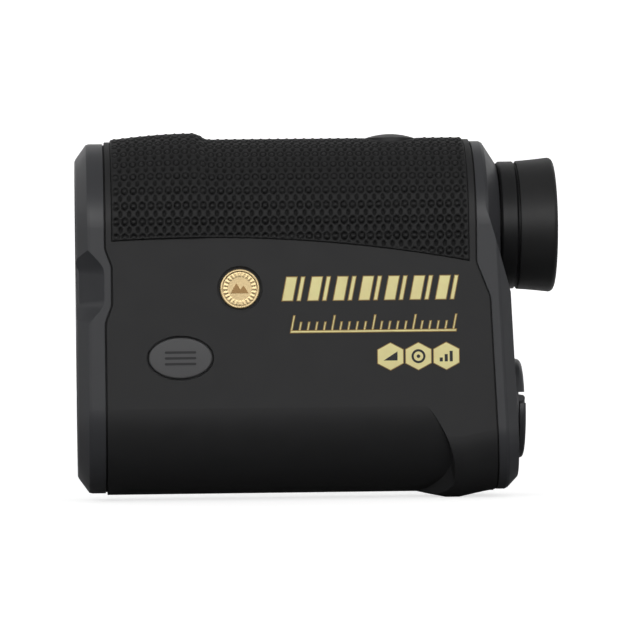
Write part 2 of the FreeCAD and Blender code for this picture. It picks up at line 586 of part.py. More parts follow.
def slanted(wire):
    """Tip a wire so that it steps back towards its foot, parallel to the lower rear face."""
    lean = FreeCAD.Matrix()
    lean.A13 = -REAR_SLANT
    return wire.transformGeometry(lean)


def rear_blank():
    """The rear bezel's outside. The upper part stops short; the lower part runs back over the battery cap."""
    edge_x = REAR_FACE[1][0] - REAR_BEVEL_X
    steps = [(-EDGE_FACET, 0.0), (EDGE_FACET, EDGE_FACET), (REAR_BEVEL_X, REAR_BEVEL_IN)]
    upper_end = Part.makeLoft([rear_wire(edge_x + x, inset) for x, inset in steps], True, True)
    upper = fuse([rear_prism(REAR_INNER_X, edge_x - EDGE_FACET, 0), upper_end])
    foot_x = REAR_FACE[-1][0]
    edge_x = foot_x - REAR_CHAMFER
    facet = EDGE_FACET
    wires = [(REAR_INNER_X, 0), (edge_x - facet, 0), (edge_x + facet, facet), (foot_x, REAR_CHAMFER)]
    lower = Part.makeLoft([slanted(rear_wire(x, inset)) for x, inset in wires], True, True)
    (xa, za), (xb, zb) = REAR_FACE[1:3]
    fall = (zb - za) / (xb - xa)
    lower = lower.common(slab_xz([(0, za - fall * xa), (FAR, za + fall * (FAR - xa)), (FAR, -FAR), (0, -FAR)]))
    return fuse([upper, lower]).cut(front_of_rear_seam(SEAM_GAP / 2))


def rear_bezel():
    blank = rear_blank()
    hollow = rear_prism(REAR_INNER_X, REAR_OUTER_X, WALL + FIT * 2).common(ahead_of(REAR_FACE, -WALL))
    body = blank.cut(hollow)
    cap_boss = cyl_x(CAP_BOSS_R, CAP_BOSS_X, REAR_OUTER_X, 0, CELL_Z).common(blank)
    standoffs = [cyl_x(STANDOFF_R, REAR_BULKHEAD[1] + RUNNING, REAR_STANDOFF_X, y, z) for y, z in REAR_SCREWS]
    body = fuse([body, cap_boss] + standoffs)
    body = body.cut(cyl_x(EYE_TUBE_R + RUNNING, REAR_INNER_X, REAR_OUTER_X))
    body = body.cut(cyl_x(EYE_RECESS_R, REAR_FACE[0][0], REAR_OUTER_X))
    body = body.cut(cyl_x(CAP_SPIGOT_R + FIT, REAR_INNER_X, REAR_OUTER_X, 0, CELL_Z))
    body = body.cut(cyl_x(CAP_FLANGE_R + CAP_RIM_GAP, CAP_SEAT_X, REAR_OUTER_X, 0, CELL_Z))
    body = body.cut(
        helical_slots(
            CAP_LUG_R + CAP_LUG_GAP, CAP_LUG_IN, CAP_SLOT_OUT, CAP_LUG_X, CELL_Z, (0, 180), CAP_TURN, CAP_TRAVEL
        )
    )
    for y, z in REAR_SCREWS:
        body = body.cut(cyl_x(BEZEL_SCREW_R, REAR_INNER_X, REAR_PILOT_X, y, z))
    return body


def gaskets():
    """Flat rubber loops in the two seams, set a little below the surface."""
    half = SEAM_GAP / 2 - TOUCH
    inside = slot_prism(-FAR, FAR, WALL + FIT)
    front_ring = slot_prism(-FAR, FRONT_INNER_X, GASKET_INSET + FRONT_INSET).cut(inside)
    front = front_ring.common(front_of_seam(half)).cut(front_of_seam(-half))
    rear_ring = rear_prism(REAR_INNER_X, REAR_OUTER_X, GASKET_INSET).cut(rear_prism(0, FAR, WALL))
    rear = rear_ring.common(front_of_rear_seam(half)).cut(front_of_rear_seam(-half))
    return front, rear


def pad_wire(x, half, top):
    arc = Part.Arc(V(x, -half, SIGHT_Z), V(x, 0, SIGHT_Z + top), V(x, half, SIGHT_Z)).toShape()
    corners = [V(x, half, SIGHT_Z), V(x, half, LOW_Z), V(x, -half, LOW_Z), V(x, -half, SIGHT_Z)]
    sides = Part.makePolygon(corners)
    return Part.Wire([arc] + sides.Edges)


def grip_pad():
    """The saddle, with a raised finger rest over its front quarter."""
    base = CASE_R + PAD_PROUD
    outer = Part.makeLoft([pad_wire(x, base + PAD_SIDE_SHARE * h, base + h) for x, h in PAD_RISE], True, True)
    pad = outer.common(pad_region(-PAD_END_GAP)).cut(slot_prism(-FAR, FAR, PAD_DEPTH))
    return pad.cut(cyl_z(POWER_R + PAD_HOLE_GAP, SIGHT_Z, FAR, POWER_X))


def badge():
    disc = cyl_y(BADGE_R, -CASE_R + FIT, -CASE_R + BADGE_RECESS, BADGE_X, BADGE_Z)
    front_edge = [e for e in disc.Edges if e.BoundBox.YMax < -CASE_R + FIT * 2 and e.Length > BADGE_R]
    return disc.makeFillet(BADGE_EDGE_R, front_edge)


def lanyard_pin():
    low_z, high_z = LANYARD_Z - LANYARD_PIN_HALF, LANYARD_Z + LANYARD_PIN_HALF
    return cyl_z(LANYARD_PIN_R, low_z, high_z, LANYARD_X, LANYARD_PIN_Y)


def shell_screws():
    return [screw(V(x, seat, z), Y_DIR, *SHELL_SCREW, seat + SHELL_SCREW_REACH) for x, z, seat in SHELL_SCREWS]


def bezel_screws():
    front_x, rear_x = FRONT_BULKHEAD[1], REAR_BULKHEAD[0]
    front = [screw(V(front_x, y, z), X_DIR, *BEZEL_SCREW, FRONT_SCREW_LENGTH) for y, z in FRONT_SCREWS]
    rear = [screw(V(rear_x, y, z), X_DIR * -1, *BEZEL_SCREW, REAR_SCREW_LENGTH) for y, z in REAR_SCREWS]
    return front + rear


# --- internal frame ---
def chassis():
    """A shelf between the two optical channels, with a bulkhead at each end that locates the tubes."""
    shelf = box(FRONT_BULKHEAD[0], REAR_BULKHEAD[1], -SHELF_HALF, SHELF_HALF, SHELF_Z0, SHELF_Z1)
    front = slot_prism(*FRONT_BULKHEAD, WALL + FIT)
    front = front.cut(cyl_x(CELL_R + FIT, -FAR, 0)).cut(cyl_x(RECEIVER_TUBE_R + FIT, -FAR, 0, 0, RECEIVER_Z))
    rear = slot_prism(*REAR_BULKHEAD, WALL + FIT)
    rear = rear.cut(cyl_x(EYE_TUBE_R + FIT, 0, FAR)).cut(cyl_x(BATTERY_HOLE_R, 0, FAR, 0, CELL_Z))
    cheeks = [box(*CHEEK_X, y, y + CHEEK_THICK, SHELF_Z1 - FIT, CHEEK_TOP_Z) for y in CHEEK_YS]
    tabs = []
    for x in TAB_XS:
        tabs.append(box(x, x + TAB_WIDTH, BOARD_Y1 + TOUCH, BOARD_Y1 + TAB_THICK, TAB_LOW_Z, SHELF_Z0 + FIT))
    body = fuse([shelf, front, rear] + cheeks + tabs)
    body = body.cut(box(*RIBBON_SLOT))
    for y, z in FRONT_SCREWS:
        body = body.cut(cyl_x(CLEAR_SCREW_R, -FAR, FRONT_INNER_X, y, z))
    for y, z in REAR_SCREWS:
        body = body.cut(cyl_x(CLEAR_SCREW_R, REAR_INNER_X, FAR, y, z))
    return body


# --- sight channel ---
def objective_group():
    cell = tube_x(CELL_R, OBJECTIVE_R + FIT, *CELL_X)
    cell = fuse([cell, tube_x(OBJECTIVE_R + WALL / 2, CELL_STOP_R, *CELL_STOP_X)])
    cell = cell.cut(tube_x(CELL_R + 1, CELL_GROOVE_R, *SEAL_GROOVE_X))
    crown = lens(*CROWN_LENS, OBJECTIVE_R)
    flint = lens(*FLINT_LENS, OBJECTIVE_R)
    retainer = tube_x(OBJECTIVE_R + RUNNING, OBJECTIVE_RING_R, *OBJECTIVE_RING_X)
    return cell, crown, flint, retainer.cut(crown)


def lens_seals():
    return [
        ring_torus(CELL_SEAL_R, SEAL_CORD_R, SEAL_X, SIGHT_Z),
        ring_torus(RECEIVER_SEAL_R, SEAL_CORD_R, SEAL_X, RECEIVER_Z),
    ]


def dichroic_mirror():
    """The coated plate that folds the laser light into the objective's path."""
    along, across, thick = MIRROR_HALF_LENGTH, MIRROR_HALF_WIDTH, MIRROR_HALF_THICK
    plate = box(-along, along, -across, across, -thick, thick)
    plate.rotate(V(0, 0, 0), Y_DIR, MIRROR_TILT)
    plate.translate(V(LASER_X, 0, SIGHT_Z))
    return plate


def laser_diode():
    """A metal-can diode standing on its board, with its window up."""
    base = cyl_z(DIODE_BASE_R, DIODE_BASE_Z, DIODE_CAN_Z + FIT, LASER_X)
    can = fuse([base, cyl_z(DIODE_CAN_R, DIODE_CAN_Z, DIODE_TOP_Z, LASER_X)])
    return can.cut(cyl_z(DIODE_WINDOW_R, DIODE_WINDOW_Z, FAR, LASER_X))


def laser_board():
    along, across = LASER_BOARD_HALF
    return box(LASER_X - along, LASER_X + along, -across, across, SHELF_Z1 + FIT, LASER_BOARD_TOP_Z)


def prism(points, y0=-PRISM_HALF_WIDTH, y1=PRISM_HALF_WIDTH):
    corners = [V(x, y0, SIGHT_Z + h) for x, h in points]
    return Part.Face(Part.makePolygon(corners + corners[:1])).extrude(V(0, y1 - y0, 0))


def roof_prism():
    """The second prism, with its upper face ground to a right-angled roof."""
    body = prism(ROOF_PRISM)
    (xa, ha), (xb, hb) = ROOF_PRISM[1], ROOF_PRISM[2]
    along = V(xa - xb, 0, ha - hb).normalize()
    normal = V(-along.z, 0, along.x)
    for side in (-1, 1):
        ridge = V(xb, 0, SIGHT_Z + hb) - along * ROOF_OVERRUN
        out = V(0, side * ROOF_WEDGE, 0)
        corners = [ridge, ridge + out - normal * ROOF_WEDGE, ridge + out + normal * ROOF_WEDGE]
        wedge = Part.Face(Part.makePolygon(corners + corners[:1])).extrude(along * FAR)
        body = body.cut(wedge)
    return body


def prism_holder():
    block = box(*HOLDER_X, -HOLDER_HALF, HOLDER_HALF, SHELF_Z1 + TOUCH, HOLDER_TOP_Z)
    block = block.cut(prism(FRONT_PRISM, y1=FAR)).cut(prism(ROOF_PRISM, y1=FAR))
    block = block.cut(cyl_x(HOLDER_LIGHT_R, -FAR, FAR))
    return block.cut(box(*COVER_X, PRISM_HALF_WIDTH, FAR, *COVER_Z))


def prism_cover():
    (x0, x1), (z0, z1), gap = COVER_X, COVER_Z, RUNNING
    return box(x0 + gap, x1 - gap, PRISM_HALF_WIDTH, COVER_OUT_Y, z0 + gap, z1 - gap)


def display_group():
    """The see-through display in the eyepiece's focal plane, its frame, and its ribbon to the main board."""
    def square(x0, x1, half):
        return box(x0, x1, -half, half, SIGHT_Z - half, SIGHT_Z + half)

    frame = box(*DISPLAY_X, -DISPLAY_HALF, DISPLAY_HALF, SHELF_Z1 + TOUCH, DISPLAY_TOP_Z)
    frame = frame.cut(square(0, FAR, DISPLAY_WINDOW)).cut(square(DISPLAY_SEAT_X, FAR, DISPLAY_SEAT))
    glass_x = DISPLAY_SEAT_X + RUNNING
    glass = square(glass_x, glass_x + DISPLAY_GLASS_THICK, DISPLAY_SEAT - RUNNING)
    corners = [V(RIBBON_X, y, z) for y, z in RIBBON_PATH]
    ribbon = Part.Face(Part.makePolygon(corners + corners[:1])).extrude(V(RIBBON_WIDTH, 0, 0))
    return frame, glass, ribbon


# --- laser receiver ---
def receiver_tube():
    """A tube round the lens that narrows to a cone, with the detector at its small end."""
    cone_length = RECEIVER_NECK_X - RECEIVER_CONE_X
    shell = fuse([
        cyl_x(RECEIVER_TUBE_R, RECEIVER_X, RECEIVER_CONE_X, 0, RECEIVER_Z),
        Part.makeCone(RECEIVER_TUBE_R, RECEIVER_NECK_R, cone_length, V(RECEIVER_CONE_X, 0, RECEIVER_Z), X_DIR),
        cyl_x(RECEIVER_NECK_R, RECEIVER_NECK_X, RECEIVER_END_X, 0, RECEIVER_Z),
    ])
    funnel_length = RECEIVER_BORE_X - RECEIVER_SHOULDER_X
    funnel_start = V(RECEIVER_SHOULDER_X, 0, RECEIVER_Z)
    bore = fuse([
        cyl_x(RECEIVER_R + FIT, -FAR, RECEIVER_SEAT_X, 0, RECEIVER_Z),
        cyl_x(RECEIVER_SHOULDER_R, -FAR, RECEIVER_SHOULDER_X, 0, RECEIVER_Z),
        Part.makeCone(RECEIVER_SHOULDER_R, RECEIVER_FUNNEL_R, funnel_length, funnel_start, X_DIR),
        cyl_x(DETECTOR_BASE_R + FIT, RECEIVER_BORE_X, FAR, 0, RECEIVER_Z),
    ])
    groove = tube_x(RECEIVER_TUBE_R + 1, RECEIVER_GROOVE_R, *SEAL_GROOVE_X, RECEIVER_Z)
    return shell.cut(bore).cut(groove)


def receiver_group():
    glass = lens(*RECEIVER_LENS, RECEIVER_R, RECEIVER_Z)
    retainer = tube_x(RECEIVER_R + RUNNING, RECEIVER_RING_R, *RECEIVER_RING_X, RECEIVER_Z).cut(glass)
    base = cyl_x(DETECTOR_BASE_R, *DETECTOR_BASE_X, 0, RECEIVER_Z)
    can = cyl_x(DETECTOR_CAN_R, DETECTOR_CAN_X, DETECTOR_BASE_X[0] + FIT, 0, RECEIVER_Z)
    half = DETECTOR_BOARD_HALF
    board = box(*DETECTOR_BOARD_X, -half, half, RECEIVER_Z - half, RECEIVER_Z + half)
    return receiver_tube(), glass, retainer, fuse([base, can]), board


# --- electronics ---
def main_board():
    board = box(*BOARD_X, BOARD_Y0, BOARD_Y1, *BOARD_Z)
    for x in BOARD_HOLES:
        board = board.cut(cyl_y(BOARD_HOLE_R, BOARD_Y0 - 1, BOARD_Y1 + 1, x, BOARD_HOLE_Z))
    return board


def board_chips():
    """Processor, memory, tilt sensor, connectors and the laser's storage capacitor."""
    chips = [box(x0, x1, BOARD_Y0 - h, BOARD_Y0, z0, z1) for x0, x1, z0, z1, h in OUTER_CHIPS]
    chips += [box(x0, x1, BOARD_Y1, BOARD_Y1 + h, z0, z1) for x0, x1, z0, z1, h in INNER_CHIPS]
    chips.append(cyl_x(CAPACITOR_R, *CAPACITOR_X, *CAPACITOR_YZ))
    return chips


def shield_can():
    (x0, x1), (z0, z1), wall = CAN_X, CAN_Z, CAN_THICK
    can = box(x0, x1, BOARD_Y1, CAN_IN_Y, z0, z1)
    return can.cut(box(x0 + wall, x1 - wall, BOARD_Y1 - 1, CAN_IN_Y - wall, z0 + wall, z1 - wall))


def battery_leads():
    """Two insulated wires from the battery tube's front end to the main board."""
    leads = []
    for stops in LEAD_PATHS:
        curve = Part.BSplineCurve()
        curve.interpolate([V(*stop) for stop in stops])
        path = Part.Wire([curve.toShape()])
        tangent = curve.tangent(curve.FirstParameter)[0]
        section = Part.Wire([Part.makeCircle(LEAD_R, V(*stops[0]), tangent)])
        leads.append(path.makePipeShell([section], True, True))
    return leads


# --- controls ---
def mode_group():
    """The oval button, and the small push switch behind it on the main board."""
    dome = Part.makeSphere(MODE_DOME_R, V(MODE_X, MODE_DOME_R - CASE_R - MODE_PROUD, MODE_Z))
    cap = ellipse_y(MODE_HALF_LENGTH, MODE_HALF_HEIGHT, -CASE_R - 1, MODE_BACK_Y, MODE_X, MODE_Z).common(dome)
    cap = cap.makeFillet(BUTTON_EDGE_R, [e for e in cap.Edges if e.BoundBox.YMax < -CASE_R + BUTTON_EDGE_R])
    half_length, half_height = MODE_HALF_LENGTH + MODE_FLANGE, MODE_HALF_HEIGHT + MODE_FLANGE
    flange = ellipse_y(half_length, half_height, MODE_FLANGE_Y, MODE_BACK_Y, MODE_X, MODE_Z)
    half = MODE_SWITCH_HALF
    body = box(MODE_X - half, MODE_X + half, MODE_SWITCH_Y, BOARD_Y0, MODE_Z - half, MODE_Z + half)
    body = body.cut(cyl_y(MODE_SWITCH_BORE_R, -CASE_R, BOARD_Y0 - FIT, MODE_X, MODE_Z))
    plunger = cyl_y(MODE_PLUNGER_R, *MODE_PLUNGER_Y, MODE_X, MODE_Z)
    return fuse([cap, flange]), body, plunger


def power_group():
    """The domed measuring button, and its push switch on a small board over the display frame."""
    dome = Part.makeSphere(POWER_DOME_R, V(POWER_X, 0, POWER_TOP_Z - POWER_DOME_R))
    cap = cyl_z(POWER_R, POWER_BACK_Z, FAR, POWER_X).common(dome)
    flange = cyl_z(POWER_FLANGE_R, POWER_BACK_Z, POWER_FLANGE_Z, POWER_X)
    board = box(*BUTTON_BOARD_X, -BUTTON_BOARD_HALF, BUTTON_BOARD_HALF, *BUTTON_BOARD_Z)
    half, board_top = POWER_SWITCH_HALF, BUTTON_BOARD_Z[1]
    body = box(POWER_X - half, POWER_X + half, -half, half, board_top, POWER_SWITCH_TOP_Z)
    body = body.cut(cyl_z(POWER_SWITCH_BORE_R, board_top + RUNNING, FAR, POWER_X))
    plunger = cyl_z(POWER_PLUNGER_R, *POWER_PLUNGER_Z, POWER_X)
    return fuse([cap, flange]), board, body, plunger


# --- eyepiece ---
def eyepiece_tube():
    bore = OCULAR_R + RUNNING
    tube = fuse([tube_x(EYE_TUBE_R, bore, *EYE_TUBE_X), tube_x(EYE_COLLAR_R, bore, *EYE_COLLAR_X)])
    near, far = GUIDE_SLOT_Y
    half = GUIDE_SLOT_HALF
    for y0, y1 in ((near, far), (-far, -near)):
        tube = tube.cut(box(*GUIDE_SLOT_X, y0, y1, SIGHT_Z - half, SIGHT_Z + half))
    return tube


def ocular_cell():
    cell = fuse([
        tube_x(OCULAR_R, OCULAR_BORE_R, *OCULAR_X),
        tube_x(OCULAR_LIP_R, OCULAR_BORE_R, *OCULAR_LIP_X),
        tube_x(OCULAR_R - FIT, OCULAR_SPACER_R, *OCULAR_SPACER_X),
    ])
    cell = cell.cut(tube_x(OCULAR_R + 1, OCULAR_GROOVE_R, *OCULAR_GROOVE_X))
    for angle in (0, 180):
        cell = cell.cut(radial_pin(FOCUS_PIN_R, FOCUS_PIN_IN, EYE_TUBE_R, FOCUS_PIN_X, angle, SIGHT_Z))
    return cell


def ocular_group():
    """The cell that slides to focus, with its two lenses, lens ring, seal and drive pins."""
    field = lens(*FIELD_LENS, EYE_LENS_R)
    eye = lens(*EYE_LENS, EYE_LENS_R)
    ring = tube_x(*EYE_RING_R, *EYE_RING_X).cut(eye)
    seal = ring_torus(OCULAR_SEAL_R, OCULAR_SEAL_CORD_R, OCULAR_SEAL_X, SIGHT_Z)
    pins = []
    for angle in (0, 180):
        pins.append(radial_pin(FOCUS_PIN_R, FOCUS_PIN_IN, FOCUS_PIN_OUT, FOCUS_PIN_X, angle, SIGHT_Z))
    return ocular_cell(), field, eye, ring.Solids[-1], seal, pins


def diopter_ring():
    """The ring that turns to focus. Its hidden sleeve carries the eyecup and the two cam slots."""
    collar = tube_x(RING_R, EYE_TUBE_R + RUNNING, RING_X0, RING_X1)
    top_z = SIGHT_Z + RING_R
    rims = [e for e in collar.Edges if abs(e.BoundBox.ZMax - top_z) < RIM_TOL and e.BoundBox.XLength < RIM_TOL]
    collar = collar.makeChamfer(RING_CHAMFER, rims)
    sleeve = tube_x(SLEEVE_R, EYE_TUBE_R + RUNNING, RING_X1 - FIT, EYE_END_X - SLEEVE_END)
    half_angle = FOCUS_HALF_ANGLE + CAM_MARGIN
    reach = FOCUS_LEAD * half_angle / 360
    start_x = FOCUS_PIN_X - reach
    starts = [half_angle, half_angle + 180]
    turn = -2 * half_angle
    slots = helical_slots(CAM_SLOT_R, CAM_SLOT_IN, CAM_SLOT_OUT, start_x, SIGHT_Z, starts, turn, 2 * reach)
    return fuse([collar, sleeve]).cut(slots)


def eyecup():
    """A soft sleeve that flares towards the eye and has a rounded rim."""
    inner, lip = CUP_INNER_R, CUP_LIP_R
    half = math.sqrt(0.5)
    x0, r0 = RING_X1 + CUP_GAP, CUP_FOOT_R
    x1, r1 = EYE_END_X - CUP_RIM_ROUND, CUP_RIM_R
    x2, r2 = EYE_END_X, CUP_RIM_R - CUP_RIM_ROUND
    foot = EYE_END_X - CUP_LIP_DEPTH
    turn = CUP_LIP_ROUND
    base = V(0, 0, SIGHT_Z)

    def at(x, r):
        return base + V(x, 0, r)

    lip_mid = at(x2 - turn + turn * half, lip + turn - turn * half)
    edges = [
        Part.makeLine(at(x0, inner), at(x0, r0)),
        Part.makeLine(at(x0, r0), at(x1, r1)),
        Part.Arc(at(x1, r1), at(x1 + half * CUP_RIM_ROUND, r2 + half * CUP_RIM_ROUND), at(x2, r2)).toShape(),
        Part.makeLine(at(x2, r2), at(x2, lip + turn)),
        Part.Arc(at(x2, lip + turn), lip_mid, at(x2 - turn, lip)).toShape(),
        Part.makeLine(at(x2 - turn, lip), at(foot, lip)),
        Part.makeLine(at(foot, lip), at(foot, inner)),
        Part.makeLine(at(foot, inner), at(x0, inner)),
    ]
    return Part.Face(Part.Wire(edges)).revolve(base, X_DIR, 360)


# --- battery and its cap ---
def battery_group():
    tube = cyl_x(BAY_R, *BAY_X, 0, CELL_Z).cut(cyl_x(BATTERY_R + FIT * 2, BAY_FLOOR_X, FAR, 0, CELL_Z))
    tube = tube.cut(cyl_x(BAY_HOLE_R, 0, FAR, 0, CELL_Z))
    front_x = BATTERY_BACK_X - BATTERY_LENGTH
    can = cyl_x(BATTERY_R, front_x + CELL_SHOULDER, BATTERY_BACK_X, 0, CELL_Z)
    can = can.makeFillet(CELL_EDGE_R, [e for e in can.Edges if e.BoundBox.XLength < RIM_TOL])
    cell = fuse([can, cyl_x(CELL_POLE_R, front_x, front_x + CELL_POLE, 0, CELL_Z)])
    disc_x = front_x - TOUCH - PLUS_THICK
    disc = cyl_x(PLUS_DISC_R, disc_x, front_x - TOUCH, 0, CELL_Z)
    stem = cyl_x(PLUS_STEM_R, PLUS_END_X, disc_x + FIT, 0, CELL_Z)
    return tube, cell, fuse([disc, stem])


def cap_ears():
    """Two ears on the cap, one at each end of the tab, that hold the tab's pin."""
    ears = []
    low_z, high_z = TAB_HINGE_Z - KNUCKLE_R, TAB_HINGE_Z + KNUCKLE_R
    for y in (-TAB_HALF - FIT - EAR_LENGTH, TAB_HALF + FIT):
        ears.append(cyl_y(KNUCKLE_R, y, y + EAR_LENGTH, TAB_HINGE_X, TAB_HINGE_Z))
        ears.append(box(CAP_STEP_X - FIT * 2, TAB_HINGE_X, y, y + EAR_LENGTH, low_z, high_z))
    return ears


def battery_cap():
    """Flange, hollow spigot with two drive lugs, and a stepped-back face with two ears for the folding tab."""
    flange = cyl_x(CAP_FLANGE_R, CAP_SEAT_X + RUNNING, CAP_OUT_X, 0, CELL_Z)
    flange = flange.makeFillet(CAP_EDGE_R, [e for e in flange.Edges if e.BoundBox.XMin > CAP_OUT_X - RIM_TOL])
    flange = flange.cut(box(CAP_STEP_X, FAR, -FAR, FAR, 0, CAP_STEP_Z))
    spigot = cyl_x(CAP_SPIGOT_R, CAP_SPIGOT_X, CAP_SEAT_X + FIT, 0, CELL_Z)
    lugs = []
    for angle in (0, 180):
        lugs.append(radial_pin(CAP_LUG_R, CAP_LUG_IN, CAP_LUG_OUT, CAP_LUG_X, angle, CELL_Z))
    cap = fuse([flange, spigot] + lugs)
    cap = cap.cut(cyl_x(CAP_HOLLOW_R, REAR_INNER_X, CAP_HOLLOW_X, 0, CELL_Z))
    cap = cap.cut(tube_x(CAP_LUG_OUT + 1, CAP_GROOVE_R, *CAP_GROOVE_X, CELL_Z))
    cap = fuse([cap] + cap_ears())
    reach = TAB_HALF + EAR_LENGTH - FIT
    return cap.cut(cyl_y(TAB_PIN_HOLE_R, -reach, reach, TAB_HINGE_X, TAB_HINGE_Z))


def cap_tab():
    """A half-moon thumb tab that lies on the cap's stepped face and swings out on its pin."""
    plate = cyl_x(TAB_R, TAB_BACK_X, TAB_FRONT_X, 0, CELL_Z)
    plate = plate.makeFillet(TAB_EDGE_R, [e for e in plate.Edges if e.BoundBox.XMin > TAB_FRONT_X - RIM_TOL])
    between_ears = box(0, FAR, -TAB_HALF, TAB_HALF, 0, TAB_HINGE_Z)
    plate = plate.common(between_ears.fuse(box(0, FAR, -FAR, FAR, 0, TAB_SHOULDER_Z)))
    knuckle = cyl_y(KNUCKLE_R, -TAB_HALF, TAB_HALF, TAB_HINGE_X, TAB_HINGE_Z)
    tab = fuse([plate, knuckle])
    thumb_groove = cyl_y(THUMB_R, -THUMB_HALF, THUMB_HALF, TAB_FRONT_X + THUMB_OUT, CELL_Z - THUMB_DROP)
    return tab.cut(thumb_groove).cut(cyl_y(TAB_LOOSE_HOLE_R, -FAR, FAR, TAB_HINGE_X, TAB_HINGE_Z))


def cap_tab_pin():
    reach = TAB_HALF + EAR_LENGTH - FIT - RUNNING
    return cyl_y(TAB_PIN_R, -reach, reach, TAB_HINGE_X, TAB_HINGE_Z)


def cap_contact():
    """The negative contact: a disc on a conical spring, which do not turn with the cap."""
    disc = cyl_x(MINUS_DISC_R, *MINUS_DISC_X, 0, CELL_Z)
    coils = [ring_torus(r, MINUS_WIRE_R, x, CELL_Z) for x, r in MINUS_COILS]
    riser = box(*MINUS_RISER_X, *MINUS_RISER_Y, CELL_Z - MINUS_WIRE_R, CELL_Z + MINUS_WIRE_R)
    return fuse([disc, riser] + coils)


def all_parts():
    parts = {}
    parts["left_shell"], parts["right_shell"] = shells()
    parts["front_bezel"] = front_bezel()
    parts["rear_bezel"] = rear_bezel()
    parts["front_gasket"], parts["rear_gasket"] = gaskets()
    parts["grip_pad"] = grip_pad()
    parts["badge"] = badge()
    parts["lanyard_pin"] = lanyard_pin()
    parts["shell_screws"] = shell_screws()
    parts["bezel_screws"] = bezel_screws()
    parts["chassis"] = chassis()
    (parts["objective_cell"], parts["objective_crown_lens"], parts["objective_flint_lens"],
     parts["objective_retainer"]) = objective_group()
    parts["lens_seals"] = lens_seals()
    parts["dichroic_mirror"] = dichroic_mirror()
    parts["laser_diode"] = laser_diode()
    parts["laser_board"] = laser_board()
    parts["front_prism"] = prism(FRONT_PRISM)
    parts["roof_prism"] = roof_prism()
    parts["prism_holder"] = prism_holder()
    parts["prism_cover"] = prism_cover()
    parts["display_frame"], parts["reticle_display"], parts["display_ribbon"] = display_group()
    (parts["receiver_tube"], parts["receiver_lens"], parts["receiver_retainer"], parts["detector"],
     parts["detector_board"]) = receiver_group()
    parts["main_board"] = main_board()
    parts["board_chips"] = board_chips()
    parts["shield_can"] = shield_can()
    parts["battery_leads"] = battery_leads()
    parts["mode_button"], parts["mode_switch"], parts["mode_plunger"] = mode_group()
    (parts["power_button"], parts["button_board"], parts["power_switch"],
     parts["power_plunger"]) = power_group()
    parts["eyepiece_tube"] = eyepiece_tube()
    (parts["ocular_cell"], parts["field_lens"], parts["eye_lens"], parts["ocular_retainer"],
     parts["ocular_seal"], parts["focus_pins"]) = ocular_group()
    parts["diopter_ring"] = diopter_ring()
    parts["eyecup"] = eyecup()
    parts["battery_tube"], parts["battery"], parts["positive_contact"] = battery_group()
    parts["battery_cap"] = battery_cap()
    parts["cap_seal"] = ring_torus(CAP_SEAL_R, CAP_SEAL_CORD_R, CAP_SEAL_X, CELL_Z)
    parts["cap_tab"] = cap_tab()
    parts["cap_tab_pin"] = cap_tab_pin()
    parts["cap_contact"] = cap_contact()
    return parts


def write(parts, folder="parts"):
    os.makedirs(folder, exist_ok=True)
    for name, shape in parts.items():
        pieces = shape if isinstance(shape, list) else [shape]
        solids = [solid for piece in pieces for solid in piece.Solids]
        for solid in solids:
            if not solid.isValid() or solid.Volume <= 0:
                print("check", name, "valid", solid.isValid(), "volume", round(solid.Volume, 3))
        whole = solids[0] if len(solids) == 1 else Part.makeCompound(solids)
        whole.translate(V(-CENTRE_X, 0, 0))
        whole.exportStep(os.path.join(folder, name + ".step"))
        print(name, len(solids), round(whole.Volume, 1))


write(all_parts())
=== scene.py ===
# Looks of a pocket laser rangefinder. Lengths are in metres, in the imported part's own frame:
# +X from the objective to the eyepiece, +Z up, and -Y the side with the mode button.
import json
import math

import bmesh
import bpy
import numpy as np
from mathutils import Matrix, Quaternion, Vector


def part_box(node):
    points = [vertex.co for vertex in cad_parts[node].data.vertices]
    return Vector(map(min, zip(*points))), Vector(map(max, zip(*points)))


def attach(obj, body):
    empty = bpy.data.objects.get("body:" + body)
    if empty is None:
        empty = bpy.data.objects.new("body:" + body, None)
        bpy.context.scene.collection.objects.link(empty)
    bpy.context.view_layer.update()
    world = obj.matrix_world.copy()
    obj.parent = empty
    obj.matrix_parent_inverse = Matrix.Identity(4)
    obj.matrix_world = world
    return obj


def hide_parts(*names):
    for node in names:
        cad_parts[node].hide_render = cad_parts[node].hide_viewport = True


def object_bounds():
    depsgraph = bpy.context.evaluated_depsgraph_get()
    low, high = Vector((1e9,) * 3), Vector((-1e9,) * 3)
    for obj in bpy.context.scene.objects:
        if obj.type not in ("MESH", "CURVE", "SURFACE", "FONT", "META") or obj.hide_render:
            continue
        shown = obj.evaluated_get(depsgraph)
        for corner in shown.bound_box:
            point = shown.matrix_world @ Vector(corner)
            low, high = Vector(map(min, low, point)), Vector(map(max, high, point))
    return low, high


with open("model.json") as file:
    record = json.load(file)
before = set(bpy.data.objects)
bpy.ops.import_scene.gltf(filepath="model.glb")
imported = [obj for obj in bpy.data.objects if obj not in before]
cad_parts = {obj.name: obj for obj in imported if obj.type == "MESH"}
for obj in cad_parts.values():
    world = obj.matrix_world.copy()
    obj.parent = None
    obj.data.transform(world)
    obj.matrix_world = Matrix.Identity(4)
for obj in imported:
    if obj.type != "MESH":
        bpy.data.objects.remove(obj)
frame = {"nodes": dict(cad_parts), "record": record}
cad_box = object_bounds()

MM = 0.001
TINY = 1e-9
SLOT_OF = {part["node"]: part["material_slot"] for part in frame["record"]["subparts"]}

# --- places read from the frame ---
FRONT_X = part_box("front_bezel")[0].x
SIDE_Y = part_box("badge")[0].y - 0.1 * MM  # plane of the left side
CASE_R = -SIDE_Y
SIGHT_Z = (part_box("eyecup")[0].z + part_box("eyecup")[1].z) / 2
PAD_LOW, PAD_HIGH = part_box("grip_pad")
BUTTON_LOW, BUTTON_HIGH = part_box("power_button")
BADGE_LOW, BADGE_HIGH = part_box("badge")


